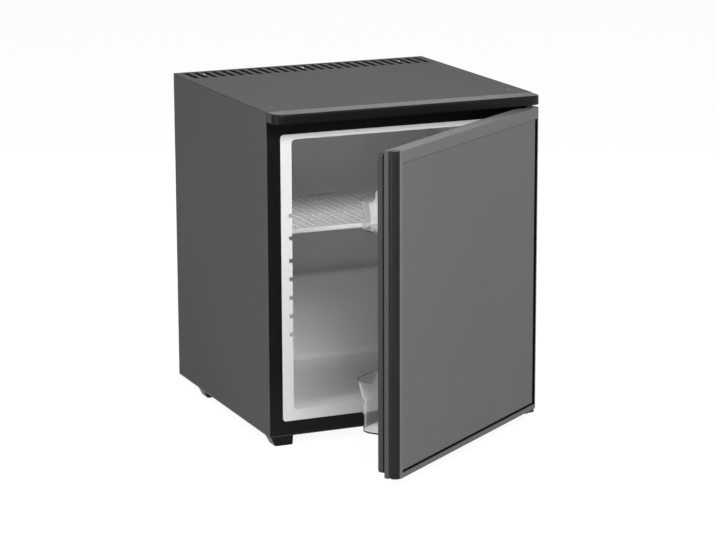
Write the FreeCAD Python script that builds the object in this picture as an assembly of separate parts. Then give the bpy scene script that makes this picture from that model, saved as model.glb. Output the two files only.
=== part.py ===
import FreeCAD, Part
import math
import os
from FreeCAD import Vector

# A hotel minibar fridge: a sheet-steel cabinet round a foamed white liner, a compressor and a wire
# condenser at the rear, and a framed door hinged on the right, stored ajar. Millimetres, +Z up, the
# front faces -Y. The origin is on the floor, in the middle of the four feet.

# Cabinet
WIDTH = 490.0
DEPTH = 454.0
HEIGHT = 558.0
FOOT_HEIGHT = 18.0
FRONT_FOOT_SETBACK = 20.0
REAR_FOOT_SETBACK = 350.0
SHEET = 0.8
PAN_SHEET = 2.0
TOP_SHEET = 1.2
TOP_SEAM = 0.5
RETURN_FLANGE = 12.0
BEND_RADIUS = 2.0
FIT = 0.2
CLEAR = 0.3

# Front frame, liner flange and top trim
FRAME_SIDE = 24.5
FRAME_TOP = 40.0
FRAME_BOTTOM = 25.5
FRAME_DEPTH = 10.0
FRAME_LAP = 5.0
FLANGE_SIDE = 20.0
FLANGE_TOP = 9.0
FLANGE_BOTTOM = 18.5
FLANGE_THICK = 2.0
FLANGE_CORNER = 6.0
TRIM_OVERHANG = 38.0
TRIM_HEIGHT = 16.0
TRIM_CORNER = 17.5
TRIM_EDGE = 3.0
TRIM_WALL = 2.5
TRIM_RIBS = 4
TRIM_RIB_GAP = 10.0

# Inside: liner, insulation and the compressor room behind it
LINER_WALL = 2.0
LINER_ROUND = 8.0
LINER_CORNER = 12.0
REAR_INSULATION = 36.0
ROOF_INSULATION = 30.0
CHIMNEY_DEPTH = 70.0
HUMP_ROUND = 10.0
ROOM_CLEAR = 7.0
ROOM_HEAD = 13.0
SILL_DEPTH = 46.0
SILL_RISE = 4.0
SILL_CREST = 8.0
GROOVE_FIRST = 132.2
GROOVE_PITCH = 31.7
GROOVES_LOW = 5
GROOVE_PITCH_HIGH = 38.5
GROOVES_HIGH = 2
GROOVE_HEIGHT = 7.4
GROOVE_DEPTH = 6.0
GROOVE_END = 12.0

# Shelf
GROOVES_BELOW_SHELF = 5
SHELF_SETBACK = 45.0
SHELF_REAR_GAP = 8.0
SHELF_PLATE = 4.0
SHELF_LIP = 8.0
SHELF_LIP_DEPTH = 6.0
SHELF_SIDE_GAP = 0.8
HOLE_DIAMETER = 9.0
HOLE_PITCH = 26.0
HOLE_MARGIN = 30.0

# Grille in the top
SLOT_PITCH = 17.3
SLOT_WIDTH = 10.0
SLOT_CORNER = 1.5
SLOT_SIDE_MARGIN = 20.0
SLOT_FRONT_MARGIN = 3.0
SLOT_REAR_MARGIN = 6.0
SCREW_EVERY = 11
SCREW_REAR_MARGIN = 36.0
SUNK_HEAD = 2.8
SUNK_SHANK = 1.4
SUNK_LENGTH = 6.0
TOP_FLANGE = 14.0
GRILLE_LEG = 26.0
CAP_SIDE = 24.0
CAP_SETBACK = 41.0
CAP_RADIUS = 4.5
CAP_STEM = 3.0
CAP_STEM_LENGTH = 4.0

# Feet
FOOT_WIDTH = 33.0
FOOT_DEPTH = 30.0
FOOT_INSET = 28.5
FOOT_SPREAD = 9.0
FOOT_END_SPREAD = 3.0
FOOT_CORNER = 4.0
FOOT_EDGE = 1.5
FOOT_PEG = 4.0

# Door
DOOR_AJAR = 36.0
DOOR_DEPTH = 26.0
DOOR_TOP_GAP = 5.5
DOOR_BOTTOM_GAP = 2.0
NOSE_RADIUS = 13.0
HINGE_CORNER = 10.0
BACK_CORNER = 3.0
RAIL_EDGE = 1.2
LIP_WIDTH = 14.0
TOP_RAIL = 19.5
BOTTOM_RAIL = 16.0
BOTTOM_STRIP = 9.5
HINGE_STRIP = 10.5
SHADOW_GAP = 6.5
STILE_WIDTH = 20.0
STILE_WALL = 3.0
STILE_CORE_CORNER = 1.0
GRIP_SETBACK = 13.4
GRIP_DEPTH = 4.0
GRIP_WIDTH = 4.4
GRIP_EDGE = 0.3
PANEL_RECESS = 1.5
PANEL_THICK = 3.0
PANEL_TUCK = 3.0
PANEL_SLOT_FIT = 0.1
DOOR_SKIN = 2.0
PLATEAU_INSET = 52.0
PLATEAU_TOP_DROP = 40.0
PLATEAU_RISE = 24.0
PLATEAU_CORNER = 14.0
PLATEAU_EDGE = 6.0
DYKE_WIDTH = 20.0
PAN_DEPTH = 10.0
PAN_MARGIN = 24.0
GASKET_WIDTH = 16.0
GASKET_SIDE = 1.0
GASKET_TOP = 4.0
GASKET_BOTTOM = 6.0
GASKET_CORNER = 8.0
GASKET_NECK = 3.0
GASKET_NECK_INSET = 3.5

# Balconies on the door
BIN_INSET = 60.0
BIN_WALL = 2.2
BIN_CORNER = 25.0
UPPER_BIN_DROP = 121.0
UPPER_BIN_REACH = 60.0
UPPER_BIN_FRONT = 49.0
UPPER_BIN_FLARE = 4.0
LOWER_BIN_LIFT = 50.0
LOWER_BIN_REACH = 61.0
LOWER_BIN_FRONT = 85.0
LOWER_BIN_FLARE = 11.0
BIN_EAR = 20.0
BIN_EAR_DEPTH = 26.0
BIN_EAR_ROUND = 12.0
BIN_STRAIGHT = 0.58
BOSS_WIDTH = 8.0
BOSS_HEIGHT = 16.0
BOSS_DEPTH = 5.0
BOSS_DROP = 14.0

# Hinges
HINGE_INSET = 20.0
HINGE_SETBACK = 14.0
PIN_RADIUS = 4.0
PIN_RUN = 0.06
PIN_HEAD = 6.0
PIN_HEAD_HEIGHT = 2.0
BUSH_RADIUS = 6.0
BUSH_FLANGE = 8.5
BUSH_COLLAR = 1.5
UPPER_PIN_DEPTH = 14.0
LOWER_PIN_DEPTH = 8.5
BUSH_END = 2.0
HINGE_LEAF = 2.5
LOWER_LEAF = 3.0
HINGE_WIDTH = 64.0
HINGE_TAIL = 45.0
HINGE_WING = 34.0
HINGE_SIDE = 6.0
HINGE_FOOT_GAP = 2.0
SCREW_RADIUS = 2.0
SCREW_HEAD = 4.0
SCREW_HEAD_HEIGHT = 2.0

# Cooling unit
COMPRESSOR_SIDE = 185.0
POT_LENGTH = 170.0
POT_WIDTH = 96.0
POT_HEIGHT = 118.0
POT_TOP_ROUND = 26.0
POT_BOTTOM_ROUND = 14.0
POT_SEAM = 3.0
POT_SEAM_HEIGHT = 5.0
POT_SEAM_LEVEL = 62.0
PLATE_OVERLAP = 22.0
PLATE_THICK = 3.0
GROMMET_HEIGHT = 12.0
GROMMET_RADIUS = 10.0
GROMMET_NECK = 6.0
GROMMET_COLLAR = 4.0
BOLT_RADIUS = 3.0
BOLT_HEAD = 6.0
BOLT_HEAD_HEIGHT = 4.0
BOLT_TAIL = 4.0
STUB_RADIUS = 4.0
STUB_LENGTH = 12.0
SUCTION_LEVEL = 45.0
DISCHARGE_OFFSET = 50.0
COVER_LENGTH = 34.0
COVER_WIDTH = 56.0
COVER_HEIGHT = 52.0
COVER_LEVEL = 30.0
COVER_ROUND = 6.0
PIPE_RADIUS = 3.2
PIPE_BEND = 16.0
CONDENSER_SIDE = 40.0
CONDENSER_PITCH = 30.0
CONDENSER_TUBE = 2.4
CONDENSER_TOP_DROP = 40.0
CONDENSER_LOW = 22.0
CONDENSER_REAR = 34.0
WIRE_PITCH = 19.0
WIRE_SIZE = 1.6
WIRE_OVERRUN = 9.0
RISER_SIDE = 22.0
SPACER_WIDTH = 18.0
SPACER_HEIGHT = 12.0
SPACER_INSET = 70.0
DRIER_RADIUS = 8.0
DRIER_LENGTH = 70.0
DRIER_DROP = 34.0
CAPILLARY_RADIUS = 1.2
CAPILLARY_BEND = 8.0
SUCTION_SIDE = 75.0
SUCTION_ENTRY = 60.0
EVAPORATOR_SIDE = 40.0
EVAPORATOR_DROP = 40.0
EVAPORATOR_LIFT = 40.0
EVAPORATOR_THICK = 1.5
EVAPORATOR_RIB = 3.0
EVAPORATOR_PASSES = 5
TRAY_LENGTH = 100.0
TRAY_WIDTH = 84.0
TRAY_HEIGHT = 20.0
TRAY_WALL = 1.6
TRAY_CORNER = 8.0
DRAIN_RADIUS = 6.0
DRAIN_BORE = 4.5
DRAIN_OFFSET = -20.0
DRAIN_SETBACK = 18.0
DRAIN_END = 6.0
DRAIN_STEP = 44.0
DRAIN_BEND = 8.0
VENT_COUNT = 9
VENT_WIDTH = 6.0
VENT_LENGTH = 60.0
VENT_PITCH = 16.0
INLET_SIDE = 90.0
INLET_WIDTH = 50.0
INLET_HEIGHT = 28.0
INLET_BODY = 22.0
INLET_FLANGE = 3.0
INLET_MARGIN = 10.0
INLET_RECESS = 16.0
INLET_LEVEL = 14.0
INLET_PIN = 4.0
INLET_PIN_THICK = 2.0
INLET_PIN_PITCH = 7.0
INLET_PIN_STEP = 1.5
INLET_LIP = 8.0
INLET_LIP_HEIGHT = 4.0
INLET_WALL = 3.0
INLET_CORNER = 4.0
BRACKET_SHEET = 1.5
BRACKET_FOOT = 20.0

# Control box on the ceiling
CONTROL_LENGTH = 130.0
CONTROL_WIDTH = 66.0
CONTROL_HEIGHT = 26.0
CONTROL_REAR_GAP = 26.0
CONTROL_ROUND = 5.0
CONTROL_WALL = 2.0
KNOB_RADIUS = 11.0
KNOB_LENGTH = 11.0
KNOB_OFFSET = 38.0
KNOB_SHAFT = 3.0
KNOB_SHAFT_LENGTH = 9.0
KNOB_GRIP = 4.0
LAMP_LENGTH = 56.0
LAMP_WIDTH = 40.0
LAMP_OFFSET = -24.0
LAMP_DROP = 3.0
LAMP_CORNER = 6.0

# Shared planes
LEFT = -WIDTH / 2
RIGHT = WIDTH / 2
FRONT = -(FRONT_FOOT_SETBACK + REAR_FOOT_SETBACK) / 2
REAR = FRONT + DEPTH
BASE = FOOT_HEIGHT
TOP = BASE + HEIGHT
PAN_TOP = BASE + PAN_SHEET
LID_UNDER = TOP - TOP_SHEET
CAV_LEFT = LEFT + FRAME_SIDE + FLANGE_SIDE
CAV_RIGHT = RIGHT - FRAME_SIDE - FLANGE_SIDE
CAV_FLOOR = BASE + FRAME_BOTTOM + FLANGE_BOTTOM
CAV_CEILING = TOP - FRAME_TOP - FLANGE_TOP
BACK_Y = REAR - CHIMNEY_DEPTH
HUMP_DEPTH = POT_WIDTH + 2 * ROOM_CLEAR - CHIMNEY_DEPTH
ROOM_HEIGHT = GROMMET_HEIGHT + PLATE_THICK + POT_HEIGHT + TRAY_HEIGHT + ROOM_HEAD
CAV_REAR = BACK_Y - SHEET - REAR_INSULATION - LINER_WALL
ROOM_Y = BACK_Y - HUMP_DEPTH
CAV_REAR_LOW = CAV_REAR - HUMP_DEPTH
ROOM_ROOF = PAN_TOP + ROOM_HEIGHT
HUMP_TOP = ROOM_ROOF + SHEET + ROOF_INSULATION + LINER_WALL
DOOR_FRONT = FRONT - TRIM_OVERHANG
DOOR_BACK = DOOR_FRONT + DOOR_DEPTH
DOOR_TOP = TOP - TRIM_HEIGHT - DOOR_TOP_GAP
DOOR_BOTTOM = BASE + DOOR_BOTTOM_GAP
RAIL_TOP = DOOR_TOP - TOP_RAIL
RAIL_BOTTOM = DOOR_BOTTOM + BOTTOM_RAIL
PANEL_FRONT = DOOR_FRONT + PANEL_RECESS
PANEL_BACK = PANEL_FRONT + PANEL_THICK
PANEL_SLOT_FRONT = PANEL_FRONT - PANEL_SLOT_FIT
PANEL_SLOT_BACK = PANEL_BACK + PANEL_SLOT_FIT
PLATEAU_Y = DOOR_BACK + PLATEAU_RISE
HINGE_X = RIGHT - HINGE_INSET
COMPRESSOR_X = LEFT + COMPRESSOR_SIDE
SUCTION_X = LEFT + SUCTION_SIDE
DRAIN_X = COMPRESSOR_X + DRAIN_OFFSET
HINGE_Y = DOOR_FRONT + HINGE_SETBACK


# Helpers for profiles, plates and tubes
def place(plane, a, b, c):
    """A point from two coordinates in a named plane and the third across it."""
    if plane == "xy":
        return Vector(a, b, c)
    if plane == "xz":
        return Vector(a, c, b)
    return Vector(c, a, b)


def rounded_wire(corners, plane, level):
    """A closed wire through (a, b, radius) corners."""
    edges = []
    starts = []
    ends = []
    mids = []
    count = len(corners)
    for i, (a, b, radius) in enumerate(corners):
        here = Vector(a, b, 0)
        before = Vector(corners[i - 1][0], corners[i - 1][1], 0) - here
        after = Vector(corners[(i + 1) % count][0], corners[(i + 1) % count][1], 0) - here
        before.normalize()
        after.normalize()
        half = before.getAngle(after) / 2
        middle = before + after
        if radius <= 0 or middle.Length < 1e-9:
            starts.append(here)
            ends.append(here)
            mids.append(None)
            continue
        middle.normalize()
        tangent = radius / math.tan(half)
        starts.append(here + before * tangent)
        ends.append(here + after * tangent)
        mids.append(here + middle * (radius / math.sin(half) - radius))
    for i in range(count):
        if mids[i] is not None:
            points = [place(plane, p.x, p.y, level) for p in (starts[i], mids[i], ends[i])]
            edges.append(Part.Arc(*points).toShape())
        low = ends[i]
        high = starts[(i + 1) % count]
        if (high - low).Length > 1e-6:
            edges.append(Part.makeLine(place(plane, low.x, low.y, level), place(plane, high.x, high.y, level)))
    return Part.Wire(edges)


def prism(corners, plane, low, high):
    """A solid with a rounded outline in one plane, from one level to another across it."""
    face = Part.Face(rounded_wire(corners, plane, low))
    return face.extrude(place(plane, 0, 0, high - low))


def rectangle(a0, b0, a1, b1, radius):
    return [(a0, b0, radius), (a1, b0, radius), (a1, b1, radius), (a0, b1, radius)]


def box(x0, y0, z0, x1, y1, z1):
    return Part.makeBox(x1 - x0, y1 - y0, z1 - z0, Vector(x0, y0, z0))


def rod(radius, start, end):
    way = end - start
    return Part.makeCylinder(radius, way.Length, start, way)


def tube(points, radius, bend):
    """A round bar along straight runs joined by tangent arcs."""
    edges = []
    here = points[0]
    for i in range(1, len(points) - 1):
        corner = points[i]
        back = points[i - 1] - corner
        ahead = points[i + 1] - corner
        back.normalize()
        ahead.normalize()
        half = back.getAngle(ahead) / 2
        tangent = bend / math.tan(half)
        middle = back + ahead
        middle.normalize()
        start = corner + back * tangent
        end = corner + ahead * tangent
        edges.append(Part.makeLine(here, start))
        edges.append(Part.Arc(start, corner + middle * (bend / math.sin(half) - bend), end).toShape())
        here = end
    edges.append(Part.makeLine(here, points[-1]))
    path = Part.Wire(edges)
    circle = Part.Wire(Part.makeCircle(radius, points[0], points[1] - points[0]))
    return path.makePipeShell([circle], True, False)


def fillet(shape, radius, chosen):
    return shape.makeFillet(radius, [edge for edge in shape.Edges if chosen(edge)])


SAME = 1e-6


def flat_in(edge, axis):
    """True when an edge lies in a plane across the axis."""
    limits = edge.BoundBox
    return {"x": limits.XLength, "y": limits.YLength, "z": limits.ZLength}[axis] < SAME


def at(edge, axis, level):
    limits = edge.BoundBox
    low = {"x": limits.XMin, "y": limits.YMin, "z": limits.ZMin}[axis]
    return flat_in(edge, axis) and abs(low - level) < SAME


def mirrored(shape):
    return shape.mirror(Vector(0, 0, 0), Vector(1, 0, 0))


def ajar(shape):
    """A door piece, modelled shut, turned about the hinge to the stored pose."""
    turned = shape.copy()
    turned.rotate(Vector(HINGE_X, HINGE_Y, 0), Vector(0, 0, 1), DOOR_AJAR)
    return turned


def save(name, shape):
    solids = shape.Solids
    result = solids[0] if len(solids) == 1 else Part.makeCompound(solids)
    result.exportStep("parts/" + name + ".step")
    print(name, len(solids), "solid(s)", round(shape.Volume / 1000, 1), "cm3", shape.isValid())


# Cabinet shell
def side_panel():
    """Left side: one coated sheet with a flange turned in along its rear edge."""
    outline = [
        (LEFT, FRONT, 0),
        (LEFT + SHEET, FRONT, 0),
        (LEFT + SHEET, REAR - SHEET, BEND_RADIUS - SHEET),
        (LEFT + RETURN_FLANGE, REAR - SHEET, 0),
        (LEFT + RETURN_FLANGE, REAR, 0),
        (LEFT, REAR, BEND_RADIUS),
    ]
    return prism(outline, "xy", PAN_TOP, LID_UNDER - TOP_SEAM)


def slot_centres():
    count = int((WIDTH - 2 * SLOT_SIDE_MARGIN) / SLOT_PITCH + 1e-6) + 1
    return [(i - (count - 1) / 2) * SLOT_PITCH for i in range(count)]


def screw_places():
    """Screws of the top sit between two slots, every so many slots."""
    centres = slot_centres()
    y = REAR - SCREW_REAR_MARGIN
    return [Vector(centres[i] + SLOT_PITCH / 2, y, TOP) for i in range(1, len(centres) - 1, SCREW_EVERY)]


def cap_places():
    return [Vector(x, FRONT + CAP_SETBACK, TOP) for x in (LEFT + CAP_SIDE, RIGHT - CAP_SIDE)]


def top_panel():
    """Lid sheet with side flanges tucked inside the side panels and a slotted grille over the chimney."""
    lid = prism(rectangle(LEFT, FRONT, RIGHT, REAR, BEND_RADIUS), "xy", LID_UNDER, TOP)
    inner = LEFT + SHEET + FIT
    flange = box(inner, FRONT + FRAME_DEPTH + FIT, LID_UNDER - TOP_FLANGE,
                 inner + TOP_SHEET, REAR - SHEET - BEND_RADIUS, LID_UNDER)
    lid = lid.fuse([flange, mirrored(flange)])
    cuts = []
    y0 = BACK_Y - SLOT_FRONT_MARGIN
    y1 = REAR - SLOT_REAR_MARGIN
    for x in slot_centres():
        outline = rectangle(x - SLOT_WIDTH / 2, y0, x + SLOT_WIDTH / 2, y1, SLOT_CORNER)
        cuts.append(prism(outline, "xy", LID_UNDER - 1, TOP + 1))
    for point in screw_places():
        cuts.append(sunk_screw(point, FIT / 2))
    for point in cap_places():
        cuts.append(rod(CAP_RADIUS + FIT, point - Vector(0, 0, TOP_SHEET + 1), point + Vector(0, 0, 1)))
    return lid.cut(cuts).removeSplitter()


def grille_rail():
    """Black rail under the grille: a comb below the lid's bars, and a leg that closes the rear edge."""
    x = LEFT + SHEET + 2 * FIT + TOP_SHEET
    y0 = REAR - SCREW_REAR_MARGIN - SLOT_PITCH / 2
    y1 = REAR - SHEET - FIT
    low = LID_UNDER - PAN_SHEET
    web = box(x, y0, low, -x, y1, LID_UNDER)
    leg = box(x, y1 - PAN_SHEET, LID_UNDER - GRILLE_LEG, -x, y1, LID_UNDER)
    cuts = [sunk_screw(point, 0) for point in screw_places()]
    for centre in slot_centres():
        cuts.append(box(centre - SLOT_WIDTH / 2, y0 - 1, low - 1,
                        centre + SLOT_WIDTH / 2, REAR - SLOT_REAR_MARGIN, LID_UNDER + 1))
    return web.cut(cuts).fuse(leg).removeSplitter()


def sunk_screw(point, grow):
    """A countersunk screw whose head lies flush at a point, grown by a fit for its hole."""
    down = Vector(0, 0, -1)
    cone = Part.makeCone(SUNK_HEAD + grow, SUNK_SHANK + grow, TOP_SHEET, point, down)
    return cone.fuse(rod(SUNK_SHANK + grow, point, point + down * SUNK_LENGTH)).removeSplitter()


def pan_head_screw(point, way, length):
    """A screw whose head rests at a point, with its shank along a direction."""
    head = rod(SCREW_HEAD, point - way * SCREW_HEAD_HEIGHT, point)
    head = fillet(head, SCREW_HEAD_HEIGHT / 2, lambda edge: len(edge.Vertexes) == 1
                  and (edge.CenterOfMass - point + way * SCREW_HEAD_HEIGHT).Length < 1e-6)
    return head.fuse(rod(SCREW_RADIUS - FIT / 2, point, point + way * length))


def top_screws():
    return Part.makeCompound([sunk_screw(point, 0) for point in screw_places()])


def top_caps():
    """Round plugs, flush with the top, over the screw holes of the two possible upper hinge places."""
    caps = []
    for point in cap_places():
        under = point - Vector(0, 0, TOP_SHEET)
        disc = rod(CAP_RADIUS, under, point)
        caps.append(disc.fuse(rod(CAP_STEM, under - Vector(0, 0, CAP_STEM_LENGTH), under)).removeSplitter())
    return Part.makeCompound(caps)


def top_trim():
    """Moulded trim that runs out over the door: a channel open to the rear, with ribs."""
    y0 = FRONT - TRIM_OVERHANG
    low = TOP - TRIM_HEIGHT
    outline = [(LEFT, FRONT, 0), (LEFT, y0, TRIM_CORNER), (RIGHT, y0, TRIM_CORNER), (RIGHT, FRONT, 0)]
    shell = prism(outline, "xy", low, TOP)
    shell = fillet(shell, TRIM_EDGE, lambda edge: at(edge, "z", TOP) and not at(edge, "y", FRONT))
    wall = TRIM_WALL
    round_in = TRIM_CORNER - wall
    hollow = [(LEFT + wall, FRONT + 1, 0), (LEFT + wall, y0 + wall, round_in),
              (RIGHT - wall, y0 + wall, round_in), (RIGHT - wall, FRONT + 1, 0)]
    shell = shell.cut(prism(hollow, "xy", low + wall, TOP - TRIM_EDGE))
    ribs = []
    span = WIDTH - 2 * (HINGE_WIDTH + HINGE_SIDE + TRIM_RIB_GAP)
    for i in range(TRIM_RIBS):
        x = (i - (TRIM_RIBS - 1) / 2) * span / (TRIM_RIBS - 1)
        ribs.append(box(x - wall / 2, y0 + wall, low + wall, x + wall / 2, FRONT, TOP - TRIM_EDGE))
    shell = shell.fuse(ribs)
    pin = Vector(HINGE_X, HINGE_Y, low)
    up = Vector(0, 0, wall + 1)
    return shell.cut(rod(PIN_RADIUS + CLEAR, pin - up, pin + up)).removeSplitter()


def front_frame():
    """Black frame round the mouth, rebated to carry the liner's flange."""
    outer = rectangle(LEFT + SHEET, PAN_TOP, RIGHT - SHEET, LID_UNDER, 0)
    x = LEFT + FRAME_SIDE
    low = BASE + FRAME_BOTTOM
    high = TOP - FRAME_TOP
    lap = FRAME_LAP
    ring = prism(outer, "xz", FRONT, FRONT + FRAME_DEPTH)
    mouth = prism(rectangle(x, low, -x, high, FLANGE_CORNER), "xz", FRONT - 1, FRONT + FLANGE_THICK)
    back = prism(rectangle(x + lap, low + lap, -x - lap, high - lap, FLANGE_CORNER), "xz",
                 FRONT, FRONT + FRAME_DEPTH + 1)
    return ring.cut([mouth, back])


def groove_levels():
    first = CAV_FLOOR + GROOVE_FIRST
    levels = [first + i * GROOVE_PITCH for i in range(GROOVES_LOW)]
    levels += [levels[-1] + (i + 1) * GROOVE_PITCH_HIGH for i in range(GROOVES_HIGH)]
    return levels


def cavity(grow, mouth):
    """The liner's inner space, stepped over the compressor room, grown outwards by a wall."""
    profile = [
        (mouth, CAV_FLOOR - grow, 0),
        (CAV_REAR_LOW + grow, CAV_FLOOR - grow, LINER_CORNER + grow),
        (CAV_REAR_LOW + grow, HUMP_TOP - grow, HUMP_ROUND - grow),
        (CAV_REAR + grow, HUMP_TOP - grow, LINER_CORNER + grow),
        (CAV_REAR + grow, CAV_CEILING + grow, LINER_CORNER + grow),
        (mouth, CAV_CEILING + grow, 0),
    ]
    space = prism(profile, "yz", CAV_LEFT - grow, CAV_RIGHT + grow)
    space = fillet(space, LINER_ROUND + grow, lambda edge: flat_in(edge, "x") and not at(edge, "y", mouth))
    reach = CAV_LEFT - GROOVE_DEPTH - grow
    half = GROOVE_HEIGHT / 2 + grow
    grooves = []
    for z in groove_levels():
        rear = CAV_REAR if z - half > HUMP_TOP else CAV_REAR_LOW
        groove = box(reach, mouth, z - half, CAV_LEFT + LINER_ROUND / 4, rear - GROOVE_END + grow, z + half)
        grooves += [groove, mirrored(groove)]
    return space.fuse(grooves)


def inner_liner():
    """White liner: a thin moulded shell with shelf grooves, a step, a sill and a flange round its mouth."""
    x = LEFT + FRAME_SIDE + FIT
    low = BASE + FRAME_BOTTOM + FIT
    high = TOP - FRAME_TOP - FIT
    flange = prism(rectangle(x, low, -x, high, FLANGE_CORNER - FIT), "xz", FRONT, FRONT + FLANGE_THICK)
    shell = flange.fuse(cavity(LINER_WALL, FRONT)).cut(cavity(0, FRONT - 1))
    crest = FRONT + SILL_DEPTH
    sill = [
        (FRONT + FLANGE_THICK, CAV_FLOOR - LINER_WALL / 2, 0),
        (FRONT + FLANGE_THICK, CAV_FLOOR, 0),
        (crest - SILL_CREST, CAV_FLOOR + SILL_RISE, SILL_CREST / 2),
        (crest, CAV_FLOOR + SILL_RISE, SILL_RISE / 2),
        (crest + SILL_RISE, CAV_FLOOR, 0),
        (crest + SILL_RISE, CAV_FLOOR - LINER_WALL / 2, 0),
    ]
    ridge = prism(sill, "yz", CAV_LEFT - LINER_WALL, CAV_RIGHT + LINER_WALL)
    shell = shell.fuse(ridge.common(cavity(LINER_WALL / 2, FRONT)))
    mouth = Vector(DRAIN_X, CAV_REAR - DRAIN_SETBACK, HUMP_TOP)
    drain = rod(DRAIN_BORE, mouth - Vector(0, 0, 2 * LINER_WALL), mouth + Vector(0, 0, LINER_WALL))
    return shell.cut(drain).removeSplitter()


def drain_route():
    """From under the step, slanting back through the insulation, down into the evaporation tray."""
    y = CAV_REAR - DRAIN_SETBACK
    low = pot_top() + TRAY_WALL + DRAIN_END
    return [
        Vector(DRAIN_X, y, HUMP_TOP - LINER_WALL),
        Vector(DRAIN_X, y, HUMP_TOP - LINER_WALL - DRAIN_BEND),
        Vector(DRAIN_X, y + DRAIN_STEP, ROOM_ROOF - DRAIN_BEND / 2),
        Vector(DRAIN_X, y + DRAIN_STEP, low),
    ]


def drain_tube():
    outer = tube(drain_route(), DRAIN_RADIUS, DRAIN_BEND)
    return outer.cut(tube(drain_route(), DRAIN_BORE, DRAIN_BEND))


def evaporator_plate():
    """Aluminium plate with pressed channels, foamed in behind the liner's upper rear wall."""
    y = CAV_REAR + LINER_WALL
    x = CAV_LEFT + EVAPORATOR_SIDE
    low = HUMP_TOP + EVAPORATOR_LIFT
    high = CAV_CEILING - EVAPORATOR_DROP
    plate = box(x, y, low, -x, y + EVAPORATOR_THICK, high)
    ribs = []
    step = (high - low) / EVAPORATOR_PASSES
    for i in range(EVAPORATOR_PASSES):
        z = low + (i + 0.5) * step
        ribs.append(rod(EVAPORATOR_RIB, Vector(x + step / 2, y + EVAPORATOR_THICK, z),
                        Vector(-x - step / 2, y + EVAPORATOR_THICK, z)))
    plate = plate.fuse(ribs)
    return plate.cut(box(x - 1, y - 2 * EVAPORATOR_RIB, low, 1 - x, y, high))


def insulation_foam():
    profile = [
        (FRONT + FRAME_DEPTH, PAN_TOP, 0),
        (FRONT + FRAME_DEPTH, LID_UNDER, 0),
        (BACK_Y - SHEET, LID_UNDER, 0),
        (BACK_Y - SHEET, ROOM_ROOF + SHEET, 0),
        (ROOM_Y - SHEET, ROOM_ROOF + SHEET, 0),
        (ROOM_Y - SHEET, PAN_TOP, 0),
    ]
    block = prism(profile, "yz", LEFT + SHEET, RIGHT - SHEET)
    drain = tube(drain_route(), DRAIN_RADIUS + FIT, DRAIN_BEND)
    pockets = [cavity(LINER_WALL + CLEAR, FRONT), top_panel(), evaporator_plate(), drain, top_caps()]
    return block.cut(pockets)


def back_panel():
    """Folded sheet behind the insulation: upright, roof of the compressor room, and its front wall."""
    outline = [
        (BACK_Y - SHEET, LID_UNDER, 0),
        (BACK_Y, LID_UNDER, 0),
        (BACK_Y, ROOM_ROOF, 0),
        (ROOM_Y, ROOM_ROOF, 0),
        (ROOM_Y, PAN_TOP, 0),
        (ROOM_Y - SHEET, PAN_TOP, 0),
        (ROOM_Y - SHEET, ROOM_ROOF + SHEET, 0),
        (BACK_Y - SHEET, ROOM_ROOF + SHEET, 0),
    ]
    sheet = prism(outline, "yz", LEFT + SHEET, RIGHT - SHEET)
    return sheet.cut([top_panel(), tube(drain_route(), DRAIN_RADIUS + FIT, DRAIN_BEND)])


def foot_places():
    x = LEFT + FOOT_INSET
    return {
        "front_left_foot": Vector(x, FRONT + FRONT_FOOT_SETBACK, 0),
        "front_right_foot": Vector(-x, FRONT + FRONT_FOOT_SETBACK, 0),
        "rear_left_foot": Vector(x, FRONT + REAR_FOOT_SETBACK, 0),
        "rear_right_foot": Vector(-x, FRONT + REAR_FOOT_SETBACK, 0),
    }


def foot(spot):
    """Moulded foot: upright on its inner side, spread towards the base on the others, with a peg."""
    side = math.copysign(1, spot.x)
    inner = spot.x - side * FOOT_WIDTH / 2
    wires = []
    for share, z in ((0, 0), (1, BASE)):
        outer = spot.x + side * (FOOT_WIDTH / 2 + share * FOOT_SPREAD)
        half = FOOT_DEPTH / 2 + share * FOOT_END_SPREAD
        wires.append(rounded_wire(rectangle(inner, spot.y - half, outer, spot.y + half, FOOT_CORNER), "xy", z))
    block = Part.makeLoft(wires, True, True)
    block = fillet(block, FOOT_EDGE, lambda edge: at(edge, "z", 0))
    peg = rod(FOOT_PEG, Vector(spot.x, spot.y, BASE - 1), Vector(spot.x, spot.y, PAN_TOP))
    return block.fuse(peg)


def base_pan():
    """Base sheet with foot holes, compressor bolt holes and vents under the compressor."""
    pan = prism(rectangle(LEFT, FRONT, RIGHT, REAR, BEND_RADIUS), "xy", BASE, PAN_TOP)
    cuts = []
    for point in foot_places().values():
        hole = Vector(point.x, point.y, BASE - 1)
        cuts.append(rod(FOOT_PEG + FIT, hole, hole + Vector(0, 0, PAN_SHEET + 2)))
    for point in bolt_places():
        hole = Vector(point.x, point.y, BASE - 1)
        cuts.append(rod(BOLT_RADIUS + FIT, hole, hole + Vector(0, 0, PAN_SHEET + 2)))
    y = room_middle()
    for i in range(VENT_COUNT):
        x = RIGHT - INLET_SIDE - (i + 1) * VENT_PITCH
        outline = rectangle(x - VENT_WIDTH / 2, y - VENT_LENGTH / 2, x + VENT_WIDTH / 2, y + VENT_LENGTH / 2,
                            VENT_WIDTH / 2 - FIT)
        if x - VENT_WIDTH > COMPRESSOR_X + POT_LENGTH / 2 + PLATE_OVERLAP:
            cuts.append(prism(outline, "xy", BASE - 1, PAN_TOP + 1))
    for point in lower_screw_places():
        cuts.append(rod(SCREW_RADIUS, point, point + Vector(0, 0, LOWER_LEAF + PAN_SHEET + 1)))
    return pan.cut(cuts)


# Cooling unit at the rear
def room_middle():
    return (ROOM_Y + REAR) / 2


def plate_under():
    return PAN_TOP + GROMMET_HEIGHT


def pot_bottom():
    return plate_under() + PLATE_THICK


def pot_top():
    return pot_bottom() + POT_HEIGHT


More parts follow.
